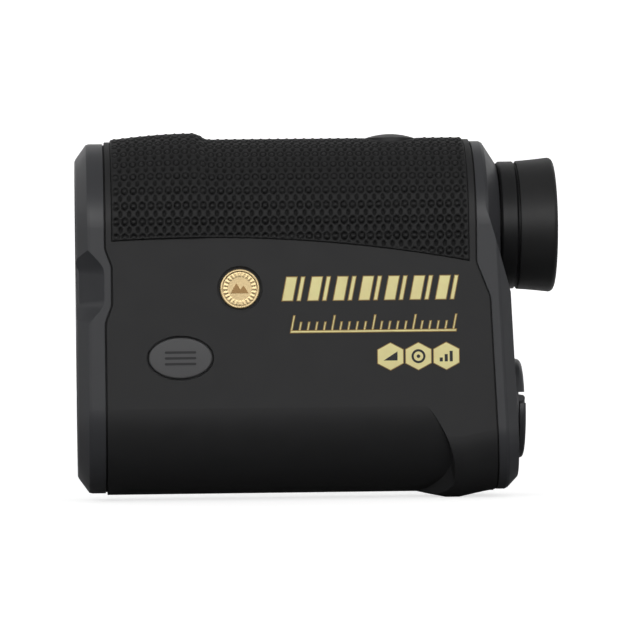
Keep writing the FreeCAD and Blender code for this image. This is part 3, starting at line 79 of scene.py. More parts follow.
# --- materials ---
def nodes_of(name):
    """A new node material, with its tree and its shader."""
    mat = bpy.data.materials.new(name)
    mat.use_nodes = True
    tree = mat.node_tree
    return mat, tree, tree.nodes["Principled BSDF"]


def add(tree, kind, **values):
    """Add a node. Names that are inputs are set as inputs, and the rest as properties."""
    node = tree.nodes.new(kind)
    for key, value in values.items():
        if hasattr(node, key):
            setattr(node, key, value)
        else:
            node.inputs[key.replace("_", " ")].default_value = value
    return node


def noise(tree, scale, detail=3.0, roughness=0.55, stretch=(1, 1, 1)):
    place = add(tree, "ShaderNodeTexCoord")
    warp = add(tree, "ShaderNodeMapping")
    warp.inputs["Scale"].default_value = stretch
    pattern = add(tree, "ShaderNodeTexNoise", Scale=scale, Detail=detail, Roughness=roughness)
    tree.links.new(place.outputs["Object"], warp.inputs["Vector"])
    tree.links.new(warp.outputs["Vector"], pattern.inputs["Vector"])
    return pattern.outputs["Fac"]


def spread(tree, source, low, high, start=0.12, end=0.88):
    """Map a 0 to 1 value onto a range."""
    node = add(tree, "ShaderNodeMapRange")
    for key, value in (("From Min", start), ("From Max", end), ("To Min", low), ("To Max", high)):
        node.inputs[key].default_value = value
    tree.links.new(source, node.inputs["Value"])
    return node.outputs["Result"]


def maths(tree, operation, first, second=None):
    """The result of a math node whose inputs are sockets or numbers."""
    node = add(tree, "ShaderNodeMath", operation=operation)
    for socket, value in zip(node.inputs, (first, second)):
        if isinstance(value, float):
            socket.default_value = value
        elif value is not None:
            tree.links.new(value, socket)
    return node.outputs["Value"]


def blend_colours(tree, factor, first, second):
    mix = add(tree, "ShaderNodeMix", data_type="RGBA")
    for socket, value in ((mix.inputs[6], first), (mix.inputs[7], second)):
        if isinstance(value, tuple):
            socket.default_value = (*value, 1.0)
        else:
            tree.links.new(value, socket)
    tree.links.new(factor, mix.inputs[0])
    return mix.outputs[2]


def turned_away(tree, soft_normal):
    """Zero on a smooth face, and more at an edge, where the softened normal leaves the true one."""
    compare = add(tree, "ShaderNodeVectorMath", operation="DOT_PRODUCT")
    tree.links.new(soft_normal, compare.inputs[0])
    tree.links.new(add(tree, "ShaderNodeNewGeometry").outputs["Normal"], compare.inputs[1])
    return maths(tree, "SUBTRACT", 1.0, compare.outputs["Value"])


def surface(name, colour, roughness=0.5, metallic=0.0, grain=8000.0, bump=0.02, mottle=0.12, edge=0.0,
            edge_radius=0.12, specular=0.5, stretch=(1, 1, 1), rough_spread=0.08, depth=0.02):
    """A moulded or machined surface: mottled colour, uneven gloss, fine grain and softened edges."""
    mat, tree, shader = nodes_of(name)
    cloud = noise(tree, 260.0, 4.0, stretch=stretch)
    fine = noise(tree, grain, 2.0, stretch=stretch)
    dark = tuple(c * (1 - mottle) for c in colour)
    light = tuple(min(1.0, c * (1 + mottle)) for c in colour)
    tint = blend_colours(tree, spread(tree, cloud, 0, 1), dark, light)
    soften = add(tree, "ShaderNodeBevel", samples=4, Radius=edge_radius * MM)
    if edge:
        wear = spread(tree, turned_away(tree, soften.outputs["Normal"]), 0, edge, 0.02, 0.2)
        tint = blend_colours(tree, wear, tint, tuple(min(1.0, c * 1.9 + 0.012) for c in colour))
    tree.links.new(tint, shader.inputs["Base Color"])
    gloss = spread(tree, cloud, roughness - rough_spread, roughness + rough_spread)
    tree.links.new(gloss, shader.inputs["Roughness"])
    shader.inputs["Metallic"].default_value = metallic
    shader.inputs["Specular IOR Level"].default_value = specular
    relief = add(tree, "ShaderNodeBump", Strength=bump, Distance=depth * MM)
    tree.links.new(fine, relief.inputs["Height"])
    tree.links.new(soften.outputs["Normal"], relief.inputs["Normal"])
    tree.links.new(relief.outputs["Normal"], shader.inputs["Normal"])
    return mat


def grip_rubber():
    """Moulded rubber: matt in the pits, a little polished on top of the studs. Painted shade darkens the pits
    and moats.
    """
    mat, tree, shader = nodes_of("grip_rubber")
    relief = add(tree, "ShaderNodeAttribute", attribute_name="relief").outputs["Fac"]
    cloud = noise(tree, 300.0, 4.0)
    fine = noise(tree, 9000.0, 2.0)
    high = blend_colours(tree, spread(tree, cloud, 0, 1), (0.0135, 0.0135, 0.014), (0.0175, 0.0175, 0.018))
    # Painted shade: the 'relief' attribute turns the pits and moats near black.
    height = spread(tree, relief, 0, 1, 0.05, 0.85)
    tint = blend_colours(tree, height, (0.0035, 0.0035, 0.0037), high)
    tree.links.new(tint, shader.inputs["Base Color"])
    tree.links.new(spread(tree, relief, 0.72, 0.47, 0.5, 1.0), shader.inputs["Roughness"])
    shader.inputs["Specular IOR Level"].default_value = 0.42
    grain = add(tree, "ShaderNodeBump", Strength=0.12, Distance=0.03 * MM)
    tree.links.new(fine, grain.inputs["Height"])
    tree.links.new(grain.outputs["Normal"], shader.inputs["Normal"])
    return mat


def coated_lens(name, middle, rim, clear=0.0):
    """Coated glass over a dark interior. Its tint changes with the angle it is seen at."""
    mat, tree, shader = nodes_of(name)
    facing = add(tree, "ShaderNodeLayerWeight", Blend=0.35).outputs["Facing"]
    cloud = spread(tree, noise(tree, 160.0, 2.0), -0.12, 0.12)
    tint = blend_colours(tree, spread(tree, maths(tree, "ADD", facing, cloud), 0, 1, 0.05, 0.75), middle, rim)
    tree.links.new(tint, shader.inputs["Base Color"])
    tree.links.new(tint, shader.inputs["Specular Tint"])
    shader.inputs["Transmission Weight"].default_value = clear
    shader.inputs["IOR"].default_value = 1.52
    shader.inputs["Specular IOR Level"].default_value = 0.8
    shader.inputs["Coat Weight"].default_value = 0.25
    shader.inputs["Coat Roughness"].default_value = 0.02
    dust = spread(tree, noise(tree, 1800.0, 5.0), 0.01, 0.05, 0.45, 0.8)
    tree.links.new(dust, shader.inputs["Roughness"])
    return mat


def circuit_board():
    mat, tree, shader = nodes_of("board")
    place = add(tree, "ShaderNodeTexCoord")
    tracks = add(tree, "ShaderNodeTexVoronoi", Scale=620.0, feature="DISTANCE_TO_EDGE", distance="MANHATTAN")
    tree.links.new(place.outputs["Object"], tracks.inputs["Vector"])
    line = spread(tree, tracks.outputs["Distance"], 1.0, 0.0, 0.05, 0.12)
    tint = blend_colours(tree, line, (0.008, 0.075, 0.03), (0.02, 0.15, 0.06))
    tree.links.new(tint, shader.inputs["Base Color"])
    shader.inputs["Roughness"].default_value = 0.32
    relief = add(tree, "ShaderNodeBump", Strength=0.3, Distance=0.03 * MM)
    tree.links.new(line, relief.inputs["Height"])
    tree.links.new(relief.outputs["Normal"], shader.inputs["Normal"])
    return mat


def battery_sleeve():
    """A dark band at one end of a pale metallic sleeve, with no print on it."""
    mat, tree, shader = nodes_of("cell_wrap")
    low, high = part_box("battery")
    place = add(tree, "ShaderNodeTexCoord")
    split = add(tree, "ShaderNodeSeparateXYZ")
    tree.links.new(place.outputs["Object"], split.inputs["Vector"])
    band_x = low.x + 0.17 * (high.x - low.x)
    band = spread(tree, split.outputs["X"], 1.0, 0.0, band_x, band_x + 0.2 * MM)
    cloud = noise(tree, 500.0, 3.0)
    pale = blend_colours(tree, spread(tree, cloud, 0, 1), (0.50, 0.51, 0.53), (0.60, 0.61, 0.63))
    tree.links.new(blend_colours(tree, band, pale, (0.03, 0.03, 0.03)), shader.inputs["Base Color"])
    shader.inputs["Roughness"].default_value = 0.3
    shader.inputs["Metallic"].default_value = 0.4
    return mat


def gold_foil(name, colour, roughness):
    """Hot-stamped foil: bright, slightly uneven, with a fine pebble from the surface under it."""
    return surface(name, colour, roughness, metallic=0.55, grain=5200.0, bump=0.10, mottle=0.10,
                   edge_radius=0.05)


def make_materials():
    soft = (0.0225, 0.0225, 0.0235)
    return {
        "shell_plastic": surface("shell_plastic", soft, 0.50, bump=0.05, grain=11000.0, edge=0.25,
                                 edge_radius=0.18, specular=0.42, mottle=0.06),
        "bezel_plastic": surface("bezel_plastic", (0.054, 0.055, 0.060), 0.34, bump=0.06, grain=9000.0,
                                 edge=0.4, edge_radius=0.22, specular=0.5, mottle=0.05),
        "grip_rubber": grip_rubber(),
        "seal_rubber": surface("seal_rubber", (0.012, 0.012, 0.0125), 0.55, bump=0.08, grain=7000.0,
                               edge_radius=0.2, specular=0.4),
        "eyecup_rubber": surface("eyecup_rubber", (0.0165, 0.0165, 0.017), 0.46, bump=0.10, grain=6500.0,
                                 edge=0.2, edge_radius=0.15, specular=0.45, mottle=0.10),
        "button_plastic": surface("button_plastic", (0.105, 0.105, 0.108), 0.48, bump=0.10, grain=7000.0,
                                  edge=0.3, edge_radius=0.2, mottle=0.06),
        "icon_paint": surface("icon_paint", (0.030, 0.030, 0.032), 0.55, bump=0.05, edge_radius=0.05),
        "dark_button": surface("dark_button", (0.017, 0.017, 0.018), 0.42, bump=0.12, grain=6000.0,
                               edge=0.3, edge_radius=0.2),
        "gold": surface("gold", (0.93, 0.70, 0.38), 0.34, metallic=0.85, grain=3000.0, bump=0.06, mottle=0.12,
                        stretch=(1, 1, 6), edge_radius=0.08),
        "gold_dark": surface("gold_dark", (0.50, 0.30, 0.12), 0.45, metallic=0.6, grain=5000.0,
                             edge_radius=0.05),
        "foil_face": gold_foil("foil_face", (1.0, 0.86, 0.42), 0.34),
        "foil_edge": gold_foil("foil_edge", (0.40, 0.26, 0.09), 0.42),
        "steel": surface("steel", (0.55, 0.55, 0.56), 0.28, metallic=1.0, stretch=(1, 1, 8),
                         edge_radius=0.08),
        "black_steel": surface("black_steel", (0.05, 0.05, 0.052), 0.35, metallic=0.9, edge=0.5,
                               edge_radius=0.08),
        "black_aluminium": surface("black_aluminium", (0.014, 0.014, 0.015), 0.42, metallic=0.3,
                                   stretch=(7, 1, 1), edge_radius=0.1),
        "frame_plastic": surface("frame_plastic", (0.022, 0.022, 0.024), 0.6, bump=0.1, edge_radius=0.15),
        "coated_glass": coated_lens("coated_glass", (0.006, 0.016, 0.013), (0.05, 0.03, 0.12)),
        "receiver_glass": coated_lens("receiver_glass", (0.020, 0.004, 0.006), (0.10, 0.02, 0.03)),
        "prism_glass": coated_lens("prism_glass", (0.90, 0.95, 0.93), (0.80, 0.90, 0.90), clear=1.0),
        "board": circuit_board(),
        "chip": surface("chip", (0.02, 0.02, 0.021), 0.5, grain=6000.0, bump=0.15),
        "tin": surface("tin", (0.62, 0.62, 0.60), 0.32, metallic=1.0, stretch=(6, 1, 1)),
        "gilt": surface("gilt", (0.83, 0.60, 0.26), 0.28, metallic=1.0),
        "ribbon": surface("ribbon", (0.55, 0.24, 0.05), 0.35, stretch=(30, 1, 1), mottle=0.35),
        "wire": surface("wire", (0.42, 0.02, 0.02), 0.4),
        "cell_wrap": battery_sleeve(),
    }


MATERIALS = make_materials()
OWN_MATERIAL = {"receiver_lens": "receiver_glass"}


def dress_cad_nodes():
    for name, node in frame["nodes"].items():
        key = OWN_MATERIAL.get(name, SLOT_OF[name])
        node.data.materials.clear()
        node.data.materials.append(MATERIALS[key])
        node.data.polygons.foreach_set("material_index", [0] * len(node.data.polygons))


# --- mesh helpers ---
def add_piece(name, verts, faces, look, body, smooth=True, sharp=40.0):
    """Make a mesh object that rides on a CAD body."""
    mesh = bpy.data.meshes.new(name)
    mesh.from_pydata(verts, [], faces)
    mesh.validate()
    mesh.materials.append(MATERIALS[look])
    piece = bpy.data.objects.new(name, mesh)
    bpy.context.scene.collection.objects.link(piece)
    fix_normals(mesh)
    if smooth:
        mesh.shade_smooth()
        mesh.set_sharp_from_angle(angle=math.radians(sharp))
    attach(piece, body)
    return piece


def fix_normals(mesh):
    work = bmesh.new()
    work.from_mesh(mesh)
    bmesh.ops.recalc_face_normals(work, faces=work.faces)
    work.to_mesh(mesh)
    work.free()


def arc_points(centre, radius, start, end, count):
    """Points (x, r) on an arc, with angles in degrees from +X towards +r."""
    angles = np.radians(np.linspace(start, end, count))
    return [(centre[0] + radius * math.cos(a), centre[1] + radius * math.sin(a)) for a in angles]


def revolve(profile, axis_z, segments=128):
    """A closed ring of (x, r) points turned about the X direction at height axis_z."""
    verts, faces = [], []
    for x, r in profile:
        for k in range(segments):
            a = 2 * math.pi * k / segments
            verts.append((x, r * math.cos(a), axis_z + r * math.sin(a)))
    for i in range(len(profile)):
        first, second = i * segments, (i + 1) % len(profile) * segments
        for k in range(segments):
            m = (k + 1) % segments
            faces.append([first + k, first + m, second + m, second + k])
    return verts, faces


# --- the grip: a rubber saddle whose studs and pits are modelled ---
PAD_PROUD = 0.35 * MM
HUMP_TOP = 1.28 * MM
HUMP_SIDE = 0.35
HUMP_LENGTH = 16.8 * MM
HUMP_STEP = 3.3 * MM
PAD_SINK = 0.15 * MM  # how far the underside lies inside the case's surface
EDGE_DROPS = (2.8 * MM, 3.0 * MM, 7.4 * MM)  # lower edge below the sight axis: front, middle and rear
EDGE_MIDDLE = 37.9 * MM
STUD_PITCH = 1.75 * MM
ROW_PITCH = 3.19 * MM
FIRST_ROW = 1.0 * MM  # lowest row of studs above the sight axis
STUD_R, STUD_HEIGHT = 0.56 * MM, 0.62 * MM
MOAT_ALONG, MOAT_ACROSS, RELIEF_DEPTH = 0.80 * MM, 0.98 * MM, 0.46 * MM
PIT_ALONG, PIT_ACROSS, PIT_DEPTH = 0.46 * MM, 0.82 * MM, 0.42 * MM
PLAIN_BUTTON_RIM, PLAIN_EDGE, FADE = 0.5 * MM, 0.25 * MM, 0.3 * MM
MOAT_INNER, MOAT_FADE, PIT_INNER, PIT_FADE = 0.62, 0.40, 0.45, 0.55  # shares of the sizes above
# Painted shade of the grip: the colour value on the plain skin, and how much depth lowers it.
SKIN_SHADE_LEVEL, RELIEF_SHADE_GAIN = 0.75, 0.75
PAD_ROUND = 0.22 * MM
HUMP_LEAD = 0.7 * MM
FINE_STEP, QUICK_STEP = 0.19 * MM, 0.36 * MM  # of the grid
HOLE_R = 5.5 * MM
FAR_AWAY = 1.0
SKIN_SHARP = 75  # degrees


def smoothstep(t):
    t = np.clip(t, 0, 1)
    return t * t * (3 - 2 * t)


def hump(x):
    """How much the finger rest raises the pad at x."""
    along = x - PAD_LOW.x
    rise = np.sin(np.clip((along + HUMP_LEAD) / (HUMP_LENGTH + HUMP_LEAD), 0, 1) * math.pi / 2)
    fall = 1 - smoothstep((along - HUMP_LENGTH) / HUMP_STEP)
    return HUMP_TOP * rise * fall


def edge_drop(x):
    """Depth of the pad's lower edge below the sight axis: a parabola through three points."""
    length = PAD_HIGH.x - PAD_LOW.x
    stops = (0.0, EDGE_MIDDLE, length)
    along = x - PAD_LOW.x
    total = 0.0
    for i, drop in enumerate(EDGE_DROPS):
        others = [s for j, s in enumerate(stops) if j != i]
        scale = (stops[i] - others[0]) * (stops[i] - others[1])
        total = total + drop * (along - others[0]) * (along - others[1]) / scale
    return total


def stud_relief(x, s, quarter, button_gap, edge_gap):
    """Height of the moulded pattern, and a 0 to 1 painted-shade value for its colour, low in the pits and
    moats. s runs from the crown down.
    """
    row = (quarter - FIRST_ROW - np.abs(s)) / ROW_PITCH
    column = (x - PAD_LOW.x) / STUD_PITCH
    dx = (column - np.floor(column) - 0.5) * STUD_PITCH
    ds = (row - np.round(row)) * ROW_PITCH
    to_stud = np.hypot(dx / MOAT_ALONG, ds / MOAT_ACROSS)
    moat = RELIEF_DEPTH * (1 - smoothstep((to_stud - MOAT_INNER) / MOAT_FADE))
    dome_t = np.clip(np.hypot(dx, ds) / STUD_R, 0, 1)
    stud = STUD_HEIGHT * np.sqrt(np.clip(1 - dome_t ** 2, 0, 1))
    shifted = column + 0.5
    pit_dx = (shifted - np.floor(shifted) - 0.5) * STUD_PITCH
    pit_ds = (row - np.floor(row) - 0.5) * ROW_PITCH
    to_pit = np.hypot(pit_dx / PIT_ALONG, pit_ds / PIT_ACROSS)
    pit = PIT_DEPTH * (1 - smoothstep((to_pit - PIT_INNER) / PIT_FADE))
    height = np.maximum(-np.maximum(moat, pit), -RELIEF_DEPTH) + stud
    away_from_button = smoothstep((button_gap - PLAIN_BUTTON_RIM) / PLAIN_BUTTON_RIM)
    height = height * away_from_button * smoothstep((edge_gap - PLAIN_EDGE) / FADE)
    return height, np.clip(SKIN_SHADE_LEVEL + height / RELIEF_DEPTH * RELIEF_SHADE_GAIN, 0, 1)


def make_grip():
    """A fine grid over the saddle, lifted by the finger rest and the studs, with a hole for the button."""
    step = FINE_STEP
    length = PAD_HIGH.x - PAD_LOW.x
    count_x = int(length / step)
    radius = CASE_R + PAD_PROUD
    quarter = radius * math.pi / 2
    count_s = 2 * int((quarter + EDGE_DROPS[1]) / step)
    xs = np.linspace(PAD_LOW.x, PAD_HIGH.x, count_x + 1)
    share = np.linspace(-1, 1, count_s + 1)
    grid_x, grid_t = np.meshgrid(xs, share, indexing="ij")
    rise = hump(grid_x)
    s = grid_t * (quarter + edge_drop(grid_x))
    angle = np.clip(s / radius, -math.pi / 2, math.pi / 2)
    below = np.maximum(np.abs(s) - quarter, 0)
    base = radius + rise * (HUMP_SIDE + (1 - HUMP_SIDE) * np.cos(angle) ** 2)
    button_x = (BUTTON_LOW.x + BUTTON_HIGH.x) / 2
    to_button = np.hypot(grid_x - button_x, base * np.sin(angle))
    to_button = np.where(np.cos(angle) > 0.5, to_button, FAR_AWAY)
    ends = np.minimum(grid_x - PAD_LOW.x, PAD_HIGH.x - grid_x)
    sides = (1 - np.abs(grid_t)) * (quarter + edge_drop(grid_x))
    rim = np.minimum(ends, sides)
    height, colour = stud_relief(grid_x, s, quarter, to_button - HOLE_R, rim)
    round_off = PAD_ROUND * (1 - np.clip(rim / PAD_ROUND, 0, 1)) ** 2
    r = base + height - round_off
    y = r * np.sin(angle)
    z = SIGHT_Z + r * np.cos(angle) - below
    near = np.abs(to_button - HOLE_R) < step
    scale = np.where(near, HOLE_R / np.maximum(to_button, TINY), 1.0)
    x = np.where(near, button_x + (grid_x - button_x) * scale, grid_x)
    y = np.where(near, y * scale, y)
    verts = np.stack([x, y, z], -1).reshape(-1, 3)
    return pad_solid(verts, to_button.ravel(), colour.ravel(), count_x, count_s, step)


def pad_solid(verts, to_button, colour, count_x, count_s, step):
    """Close the textured skin with an underside, and with walls round the outside and round the hole."""
    def index(i, j):
        return i * (count_s + 1) + j

    i, j = np.meshgrid(np.arange(count_x), np.arange(count_s), indexing="ij")
    corners = np.stack([index(i, j), index(i + 1, j), index(i + 1, j + 1), index(i, j + 1)], -1)
    corners = corners.reshape(-1, 4)
    keep = to_button[corners].min(1) > HOLE_R - step * 0.5
    used, inverse = np.unique(corners[keep], return_inverse=True)
    top, shade = verts[used], colour[used]
    faces = inverse.reshape(-1, 4)
    count = len(top)
    floor_r = CASE_R - PAD_SINK
    under = top.copy()
    out = np.stack([top[:, 1], np.maximum(top[:, 2] - SIGHT_Z, 0)], -1)
    out /= np.linalg.norm(out, axis=1)[:, None]
    under[:, 1] = out[:, 0] * floor_r
    under[:, 2] = np.where(top[:, 2] > SIGHT_Z, SIGHT_Z + out[:, 1] * floor_r, top[:, 2])
    tails, heads = faces.ravel(), np.roll(faces, -1, axis=1).ravel()
    one_way = np.isin(tails * count + heads, heads * count + tails, invert=True)
    tails, heads = tails[one_way], heads[one_way]
    walls = np.stack([heads, tails, tails + count, heads + count], -1)
    mesh = bpy.data.meshes.new("grip_skin")
    all_faces = np.concatenate([faces, faces[:, ::-1] + count, walls])
    mesh.from_pydata(np.concatenate([top, under]).tolist(), [], all_faces.tolist())
    # The 'relief' attribute carries the painted shade of the pits and moats.
    layer = mesh.attributes.new("relief", "FLOAT", "POINT")
    layer.data.foreach_set("value", np.concatenate([shade, shade]).astype(np.float32))
    fix_normals(mesh)
    mesh.materials.append(MATERIALS["grip_rubber"])
    mesh.shade_smooth()
    mesh.set_sharp_from_angle(angle=math.radians(SKIN_SHARP))
    piece = bpy.data.objects.new("grip_skin", mesh)
    bpy.context.scene.collection.objects.link(piece)
    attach(piece, "case")
    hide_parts("grip_pad")
    return piece


# --- printed marks on the left side ---
PRINT_LEFT, PRINT_WIDTH = 40.85 * MM, 35.6 * MM  # left edge from the front of the case, and length
FOIL_SINK, RIM_PROUD, FACE_PROUD = 0.03 * MM, 0.035 * MM, 0.06 * MM
RIM_WIDTH = 0.16 * MM
LEAN = 0.20
STRIPE_DROPS = (15.1 * MM, 10.15 * MM)  # lower and upper edge below the sight axis
STRIPE_PAIRS, STRIPE_BROAD, STRIPE_SLIM, STRIPE_GAP = 7, 2.35 * MM, 0.95 * MM, 0.62 * MM
SCALE_DROPS = (21.5 * MM, 17.9 * MM)
SCALE_INDENT, SCALE_SHORTER, SCALE_LINE = 1.6 * MM, 2.2 * MM, 0.6 * MM
TICK_PITCH, TICK_WIDTH, SHORT_TICK, TICKS_PER_TALL = 1.62 * MM, 0.5 * MM, 2.3 * MM, 5
TICK_GROW = 0.99  # so that a tick's edge never lies in the same plane as the line's
HEXAGON, HEXAGON_STRETCH = 2.85 * MM, 1.08  # corner reach, and how much wider than regular
HEXAGON_DROP, HEXAGON_PITCH, HEXAGON_RIGHT = 26.35 * MM, 5.6 * MM, 2.7 * MM
SIGN_SINK, SIGN_PROUD = 0.01 * MM, 0.02 * MM
SLOPE_SIGN = (1.4 * MM, 0.8 * MM, 1.0 * MM)  # half-width, drop and rise
TARGET_SIGN = (0.95 * MM, 1.4 * MM, 0.36 * MM)  # ring's radii, and the dot's
BAR_SIGN = (1.35 * MM, 1.1 * MM, 1.0 * MM, 0.62 * MM, -0.3 * MM, 0.65 * MM)


def flat_plate(name, outlines, y_back, y_front, look, body="case"):
    """Plates with the given (x, z) outlines, standing on the left side between two depths."""
    verts, faces = [], []
    for outline in outlines:
        start, count = len(verts), len(outline)
        verts += [(x, y_back, z) for x, z in outline]
        verts += [(x, y_front, z) for x, z in outline]
        faces.append(list(range(start + count, start + 2 * count)))
        faces.append(list(range(start + count - 1, start - 1, -1)))
        for k in range(count):
            m = (k + 1) % count
            faces.append([start + k, start + m, start + count + m, start + count + k])
    return add_piece(name, verts, faces, look, body, smooth=False)


def leaning_bar(x0, x1, z0, z1, lean, grow=0.0):
    """Outline of a bar that leans to the right, optionally grown on every side."""
    shift = lean * (z1 - z0)
    g, gz = grow * math.hypot(1, lean), grow
    tilt = lean * grow
    return [(x0 - g - tilt, z0 - gz), (x1 + g - tilt, z0 - gz), (x1 + shift + g + tilt, z1 + gz),
            (x0 + shift - g + tilt, z1 + gz)]


def disc_outline(x, z, r, count=48):
    return [(x + r * math.cos(2 * math.pi * k / count), z + r * math.sin(2 * math.pi * k / count))
            for k in range(count)]


def stripe_outlines(grow):
    """Pairs of leaning bars, each a broad one and a slim one."""
    low, high = SIGHT_Z - STRIPE_DROPS[0], SIGHT_Z - STRIPE_DROPS[1]
    last_width = STRIPE_BROAD + STRIPE_GAP + STRIPE_SLIM + LEAN * (high - low)
    pitch = (PRINT_WIDTH - last_width) / (STRIPE_PAIRS - 1)
    bars = []
    for k in range(STRIPE_PAIRS):
        x = FRONT_X + PRINT_LEFT + k * pitch
        slim_x = x + STRIPE_BROAD + STRIPE_GAP
        bars.append(leaning_bar(x, x + STRIPE_BROAD, low, high, LEAN, grow))
        bars.append(leaning_bar(slim_x, slim_x + STRIPE_SLIM, low, high, LEAN, grow))
    return bars


def scale_outlines(grow):
    """A ruler-like line with leaning ticks, every fifth one tall."""
    low, high = SIGHT_Z - SCALE_DROPS[0], SIGHT_Z - SCALE_DROPS[1]
    left = FRONT_X + PRINT_LEFT + SCALE_INDENT
    width = PRINT_WIDTH - SCALE_SHORTER
    line_top = low + SCALE_LINE
    lines = [leaning_bar(left, left + width, low, line_top, LEAN, grow)]
    for k in range(int(width / TICK_PITCH) + 1):
        top = high if k % TICKS_PER_TALL == 0 else low + SHORT_TICK
        start = line_top + grow
        x = left + k * TICK_PITCH + LEAN * (start - low)
        lines.append(leaning_bar(x, x + TICK_WIDTH, start, top, LEAN, grow * TICK_GROW))
    return lines


def hexagon_outline(cx, cz, reach):
    """Six corners, one of them straight up, so that neighbours stand side to side."""
    corners = []
    for k in range(6):
        a = math.pi / 6 + k * math.pi / 3
        corners.append((cx + HEXAGON_STRETCH * reach * math.cos(a), cz + reach * math.sin(a)))
    return corners


def hexagon_centres():
    z = SIGHT_Z - HEXAGON_DROP
    right = FRONT_X + PRINT_LEFT + PRINT_WIDTH - HEXAGON_RIGHT
    return [(right - k * HEXAGON_PITCH, z) for k in (2, 1, 0)]


def hexagon_outlines(grow):
    return [hexagon_outline(x, z, HEXAGON + grow) for x, z in hexagon_centres()]


def make_print():
    """Three lines of foil, each a bright face on a slightly wider and darker edge."""
    y_rim, y_face = SIDE_Y - RIM_PROUD, SIDE_Y - FACE_PROUD
    rows = {"stripe_print": stripe_outlines, "scale_print": scale_outlines, "dot_print": hexagon_outlines}
    for name, outlines in rows.items():
        flat_plate(name + "_edge", outlines(0.0), SIDE_Y + FOIL_SINK, y_rim, "foil_edge")
        flat_plate(name, outlines(-RIM_WIDTH), SIDE_Y, y_face, "foil_face")
    make_signs(y_face)


def make_signs(y_face):
    """A wedge, a ring and a set of bars: plain signs for slope, target and signal."""
    inner, outer, dot = TARGET_SIGN
    (x0, z0), (x1, z1), (x2, z2) = hexagon_centres()
    signs = [slope_sign(x0, z0, *SLOPE_SIGN), disc_outline(x1, z1, dot, 20)]
    signs += bar_sign(x2, z2, *BAR_SIGN) + ring_sign(x1, z1, inner, outer)
    y_back, y_front = y_face + SIGN_SINK, y_face - SIGN_PROUD
    flat_plate("dot_icons", signs, y_back, y_front, "icon_paint")


def slope_sign(x, z, half, low, high):
    return [(x - half, z - low), (x + half, z - low), (x + half, z + high)]


def bar_sign(x, z, left, low, pitch, width, top, rise):
    """Three upright bars, each taller than the one before."""
    bars = []
    for k in range(3):
        x0, z0, z1 = x - left + k * pitch, z - low, z + top + k * rise
        bars.append([(x0, z0), (x0 + width, z0), (x0 + width, z1), (x0, z1)])
    return bars


def ring_sign(x, z, inner, outer, count=24):
    """A ring in short pieces."""
    def at(r, a):
        return (x + r * math.cos(a), z + r * math.sin(a))

    turn = 2 * math.pi / count
    return [[at(inner, k * turn), at(outer, k * turn), at(outer, (k + 1) * turn), at(inner, (k + 1) * turn)]
            for k in range(count)]


# --- badge ---
BADGE_RINGS, BADGE_AROUND, BADGE_RAYS = 44, 192, 24
BADGE_FLOOR, RIM_RELIEF, RAY_RELIEF, LIP_DROP = 0.16 * MM, 0.15 * MM, 0.05 * MM, 0.10 * MM
BADGE_BACK = 0.02 * MM
PEAKS = ((-1.85, -0.9), (1.75, -0.9), (0.75, 0.65), (0.1, -0.15), (-0.7, 1.15))  # mm from the middle
PEAKS_BACK, PEAKS_FRONT = 0.20 * MM, 0.07 * MM


def badge_relief(t, a):
    """Height over the badge's floor at a share t of its radius: a raised rim, and rays inside it."""
    rim = smoothstep((t - 0.84) / 0.04) * (1 - smoothstep((t - 0.95) / 0.05))
    rays = smoothstep((t - 0.60) / 0.03) * (1 - smoothstep((t - 0.80) / 0.03))
    wave = 0.5 + 0.5 * math.cos(BADGE_RAYS * a)
    return RIM_RELIEF * rim + RAY_RELIEF * rays * wave - LIP_DROP * (t > 0.985)


def make_badge():
    """A struck metal disc: raised rim, ring of fine rays, and a plain double peak in the middle."""
    cx, cz = (BADGE_LOW.x + BADGE_HIGH.x) / 2, (BADGE_LOW.z + BADGE_HIGH.z) / 2
    radius = (BADGE_HIGH.x - BADGE_LOW.x) / 2
    face_y = BADGE_LOW.y
    angles = [2 * math.pi * k / BADGE_AROUND for k in range(BADGE_AROUND)]
    verts = [(cx, face_y + BADGE_FLOOR, cz)]
    for i in range(1, BADGE_RINGS + 1):
        t = i / BADGE_RINGS
        for a in angles:
            y = face_y + BADGE_FLOOR - badge_relief(t, a)
            verts.append((cx + radius * t * math.cos(a), y, cz + radius * t * math.sin(a)))
    back_y = BADGE_HIGH.y - BADGE_BACK
    verts += [(cx + radius * math.cos(a), back_y, cz + radius * math.sin(a)) for a in angles]
    faces = []
    for k in range(BADGE_AROUND):
        m = (k + 1) % BADGE_AROUND
        faces.append([0, 1 + k, 1 + m])
        for i in range(BADGE_RINGS):
            a, b = 1 + i * BADGE_AROUND, 1 + (i + 1) * BADGE_AROUND
            faces.append([a + k, b + k, b + m, a + m])
    base = 1 + BADGE_RINGS * BADGE_AROUND
    faces.append([base + k for k in range(BADGE_AROUND)])
    disc = add_piece("badge_disc", verts, faces, "gold", "case")
    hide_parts("badge")
    peaks = [(cx + x * MM, cz + z * MM) for x, z in PEAKS]
    flat_plate("badge_peaks", [peaks], face_y + PEAKS_BACK, face_y + PEAKS_FRONT, "gold_dark")


# --- mode button sign ---
SIGN_PITCH, SIGN_HALF, SIGN_R = 1.15 * MM, 2.9 * MM, 0.24 * MM
MODE_SIGN_SINK, MODE_SIGN_PROUD = 0.3 * MM, 0.025 * MM


def make_mode_sign():
    """Three short rounded bars in darker paint, slightly sunk in the button's crown."""
    low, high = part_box("mode_button")
    cx, cz = (low.x + high.x) / 2, (low.z + high.z) / 2
    angles = np.linspace(-math.pi / 2, math.pi / 2, 9)
    outlines = []
    for k in (-1, 0, 1):
        z = cz + k * SIGN_PITCH
        right = [(cx + SIGN_HALF + SIGN_R * math.cos(a), z + SIGN_R * math.sin(a)) for a in angles]
        left = [(cx - SIGN_HALF - SIGN_R * math.cos(a), z - SIGN_R * math.sin(a)) for a in angles]
        outlines.append(right + left)
    flat_plate("mode_sign", outlines, low.y + MODE_SIGN_SINK, low.y - MODE_SIGN_PROUD, "icon_paint",
               "mode_button")


